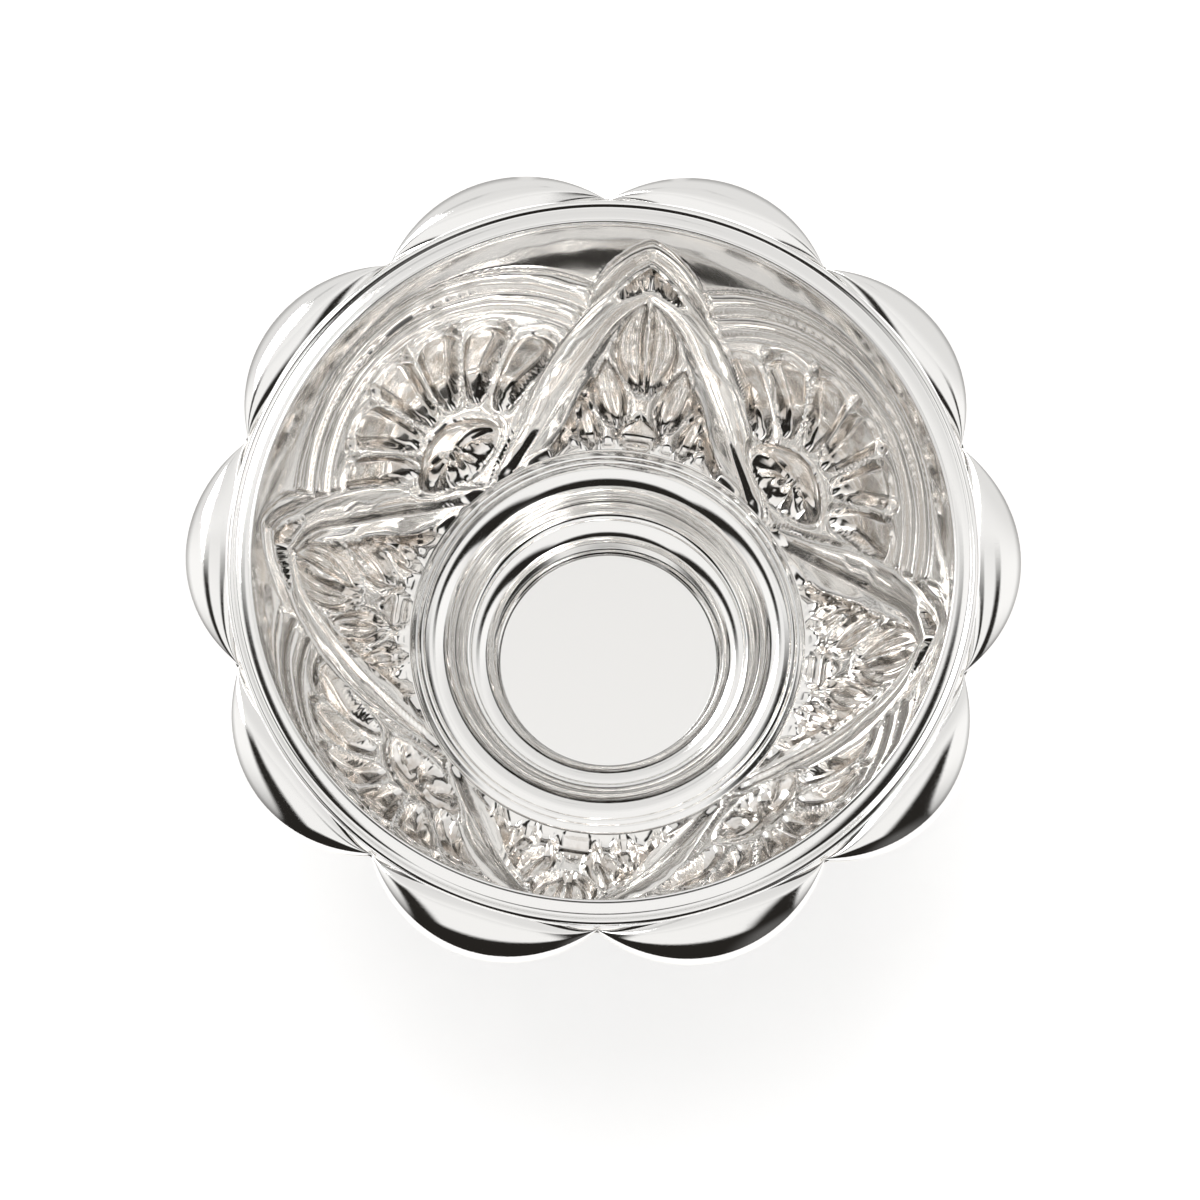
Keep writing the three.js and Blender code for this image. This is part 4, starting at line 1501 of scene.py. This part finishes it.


# %% [markdown]
# ## Chased wall: the whole relief
# Each place of the wall asks for the daisy and the arch nearest to it, and the arch covers the
# daisy, except at the eye, which lies over the arch's foot. Above the pattern the wall is plain.
# The sheet was worked by hand, so a seeded waviness goes over everything, and more of it where the
# metal was pushed. A Noise texture could do that too, but only after the mesh is made, while here
# the hollows that get the painted shade come from the same numbers.

# %% Relief of the whole wall
QUARTER = 90.0
ARCH_AXIS = 82.3
FLOWER_AXIS = 128.8
WAVE_COUNT = 60
BROAD_WAVE = (14.0, 0.06)
FINE_WAVE = (4.5, 0.008)
PLAIN_WAVES = 0.35
FOOT_FADE = 2.6
PATTERN_TOP = (85.0, 89.5)
# Hollows this deep take the painted shade in full.
DARK_DEPTH = 2.2


def waviness(x, v, length, seed):
    """Seeded waves of about one length, in many directions, from minus one to one."""
    random = np.random.default_rng(seed)
    total = np.zeros_like(v)
    for _ in range(WAVE_COUNT):
        turn, phase = random.uniform(0, 2 * math.pi, 2)
        wave = 2 * math.pi / (length * random.uniform(0.7, 1.5))
        total += np.sin(wave * (x * math.cos(turn) + v * math.sin(turn)) + phase)
    return total / math.sqrt(WAVE_COUNT)


def by_hand(degrees, v):
    """The unevenness that handwork leaves, in millimetres."""
    turn = np.radians(degrees)
    x, y = WIDEST_RADIUS * np.cos(turn), WIDEST_RADIUS * np.sin(turn)
    broad = waviness(x + y, v, BROAD_WAVE[0], 3)
    fine = waviness(x - y, v + 0.4 * x, FINE_WAVE[0], 5)
    return BROAD_WAVE[1] * broad + FINE_WAVE[1] * fine


def relief(degrees, v):
    """Push outwards in millimetres, and how strong the painted shade of the hollow is, at each place of the
    wall.
    """
    around = wall_radius(v) * math.pi / 180
    from_arch = (degrees - ARCH_AXIS + QUARTER / 2) % QUARTER - QUARTER / 2
    from_flower = (degrees - FLOWER_AXIS + QUARTER / 2) % QUARTER - QUARTER / 2
    flower_push, flower_hollow, in_eye = daisy(from_flower, from_flower * around, v)
    arch_push, arch_edge, arch_hollow = arch(from_arch * around, v)
    share = ease(arch_edge, -0.35, 0.35) * ease(-in_eye, 0.6, 1.8)
    push = flower_push * (1 - share) + arch_push * share
    deep = flower_hollow * (1 - share) + arch_hollow * share
    worked = PLAIN_WAVES + (1 - PLAIN_WAVES) * ease(push, 0.2, 1.2)
    push = push + by_hand(degrees, v) * worked
    fade = ease(v, 0, FOOT_FADE) * ease(-v, -along_wall(PATTERN_TOP[1]), -along_wall(PATTERN_TOP[0]))
    return push * fade, np.clip(deep / DARK_DEPTH, 0, 1) * fade


corner_push, _ = relief(np.array([ARCH_AXIS]), along_wall(np.array([60.0])))
print("wall pushed out in the sunk corner:", round(float(corner_push[0]), 2), "mm")


# %% [markdown]
# ## Chased wall: the sheet
# The relief is real geometry, since the camera looks along it and each form hides a part of the
# next. A Displace modifier on a plain shell could read it from a texture, but would blur the
# crests. The inside gets a fine grid, and the outside, which shows the work softer, a coarser one
# with the same relief, spread by the thickness of the sheet and rounded. Both are closed over the
# flange under the mouth ring and under the curl at the foot, so the wall is one solid sheet.

# %% Faces of the wall
INSIDE_COLUMNS = 768
INSIDE_ROWS = 102
OUTSIDE_COLUMNS = 192
OUTSIDE_ROWS = 51
SPREAD_CELLS = 3
SLOPE_STEP = 0.05


def with_neighbours(field, combine):
    """Each value of a field of the wall combined with its four neighbours."""
    padded = np.pad(field, ((1, 1), (0, 0)), mode="edge")
    return combine([field, padded[:-2], padded[2:], np.roll(field, 1, axis=1), np.roll(field, -1, axis=1)])


def seen_outside(push, v):
    """The relief as the outside shows it: spread by the sheet, rounded, and gone at the foot."""
    for _ in range(SPREAD_CELLS):
        push = with_neighbours(push, lambda values: np.max(values, axis=0))
    for _ in range(2 * SPREAD_CELLS):
        push = with_neighbours(push, lambda values: np.mean(values, axis=0))
    return push * ease(v, -1.0, 2.5)


def wall_face(degrees, v, away):
    """Points of one face of the wall, pushed out of its plain form by the given distances."""
    rise_r = wall_radius(v + SLOPE_STEP) - wall_radius(v - SLOPE_STEP)
    rise_z = np.interp(v + SLOPE_STEP, line_v, line_z) - np.interp(v - SLOPE_STEP, line_v, line_z)
    length = np.hypot(rise_r, rise_z)
    r = wall_radius(v) + rise_z / length * away
    z = np.interp(v, line_v, line_z) - rise_r / length * away
    turn = np.radians(degrees)
    return np.stack([r * np.cos(turn), r * np.sin(turn), z], axis=-1)


def plain_ring(columns, r, z):
    """One ring of points with no relief."""
    turn = np.radians(np.arange(columns) * 360 / columns)
    return np.stack([r * np.cos(turn), r * np.sin(turn), np.full(columns, z)], axis=-1)


print("one cell inside:", round(2 * math.pi * WIDEST_RADIUS / INSIDE_COLUMNS, 2), "mm by",
      round(wall_length / INSIDE_ROWS, 2), "mm")


# %% Rings of the wall
def wall_rings():
    """Rings of points of the fine part and of the coarse part, and the painted shade of the hollows."""
    places = np.arange(INSIDE_COLUMNS) * 360 / INSIDE_COLUMNS
    degrees, v = np.meshgrid(places, np.linspace(0, wall_length, INSIDE_ROWS + 1))
    push, dark = relief(degrees, v)
    inner = wall_face(degrees, v, push)
    rows, columns = INSIDE_ROWS // OUTSIDE_ROWS, INSIDE_COLUMNS // OUTSIDE_COLUMNS
    outer = wall_face(degrees, v, seen_outside(push, v) + WALL_SHEET)[::rows, ::columns]
    bend = arc(WIDEST_RADIUS + BEND_RADIUS, flange_top - BEND_RADIUS, BEND_RADIUS, BEND_RADIUS, 180, 90, 6)
    fine = [plain_ring(INSIDE_COLUMNS, WALL_FOOT_RADIUS - CURL_WIDTH, wall_foot - CURL_DROP),
            plain_ring(INSIDE_COLUMNS, WALL_FOOT_RADIUS, wall_foot - CURL_DROP), *inner,
            *[plain_ring(INSIDE_COLUMNS, r, z) for r, z in bend[1:]],
            plain_ring(INSIDE_COLUMNS, flange_outer, flange_top)]
    coarse = [plain_ring(OUTSIDE_COLUMNS, flange_outer, flange_top - WALL_SHEET),
              plain_ring(OUTSIDE_COLUMNS, WIDEST_RADIUS + BEND_RADIUS, flange_top - WALL_SHEET),
              *outer[::-1],
              plain_ring(OUTSIDE_COLUMNS, WALL_FOOT_RADIUS + WALL_SHEET / 2, curl_bottom),
              plain_ring(OUTSIDE_COLUMNS, WALL_FOOT_RADIUS - CURL_WIDTH, curl_bottom)]
    return fine, coarse, dark


def ring_faces(start, rings, columns):
    """Faces between rings of points that follow each other."""
    faces = []
    for row in range(rings - 1):
        a = start + row * columns
        b = a + columns
        for i in range(columns):
            j = (i + 1) % columns
            faces.append((a + i, a + j, b + j, b + i))
    return faces


def joining_faces(fine_start, coarse_start):
    """Faces from a fine ring to a coarse one, each with several points of the first."""
    ratio = INSIDE_COLUMNS // OUTSIDE_COLUMNS
    faces = []
    for i in range(OUTSIDE_COLUMNS):
        j = (i + 1) % OUTSIDE_COLUMNS
        along = [fine_start + (i * ratio + k) % INSIDE_COLUMNS for k in range(ratio + 1)]
        faces.append((*along, coarse_start + j, coarse_start + i))
    return faces


fine_rings, coarse_rings, hollow_shade_mask = wall_rings()
print("wall rings:", len(fine_rings), "fine and", len(coarse_rings), "coarse")


# %% Wall
def wall_piece():
    """The whole wall as one closed mesh, with the hollows marked for the painted shade."""
    total = len(fine_rings) * INSIDE_COLUMNS
    last_coarse = total + (len(coarse_rings) - 1) * OUTSIDE_COLUMNS
    vertices = np.concatenate([np.concatenate(fine_rings), np.concatenate(coarse_rings)])
    faces = [*ring_faces(0, len(fine_rings), INSIDE_COLUMNS),
             *ring_faces(total, len(coarse_rings), OUTSIDE_COLUMNS),
             *joining_faces(total - INSIDE_COLUMNS, total), *joining_faces(0, last_coarse)]
    piece = new_piece("bowl_wall_chased", (vertices * MM).tolist(), faces=faces)
    # The hollow attribute holds the painted shade of the hollows, for the silver's colour.
    mask = piece.data.attributes.new("hollow", "FLOAT", "POINT")
    values = np.zeros(len(vertices), np.float32)
    values[2 * INSIDE_COLUMNS:][:hollow_shade_mask.size] = hollow_shade_mask.ravel()
    mask.data.foreach_set("value", values)
    return plain(piece)


wall = wall_piece()
dress(wall, "chased_silver", "bowl_wall")
print("wall triangles:", sum(len(f.vertices) - 2 for f in wall.data.polygons))


# %% [markdown] ## Last steps The visual model has to stay inside the box of the solids, so that
# everything that was measured on the solids holds for what is seen. It could be judged by eye,
# but here both boxes are measured, and the visual one is printed to a hundredth of a millimetre.

# %% Finish
visual_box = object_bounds()
sizes = {"cad": [list(corner) for corner in cad_box], "visual": [list(corner) for corner in visual_box]}
print("visual size in mm:", [round((high - low) / MM, 2) for low, high in zip(*visual_box)])
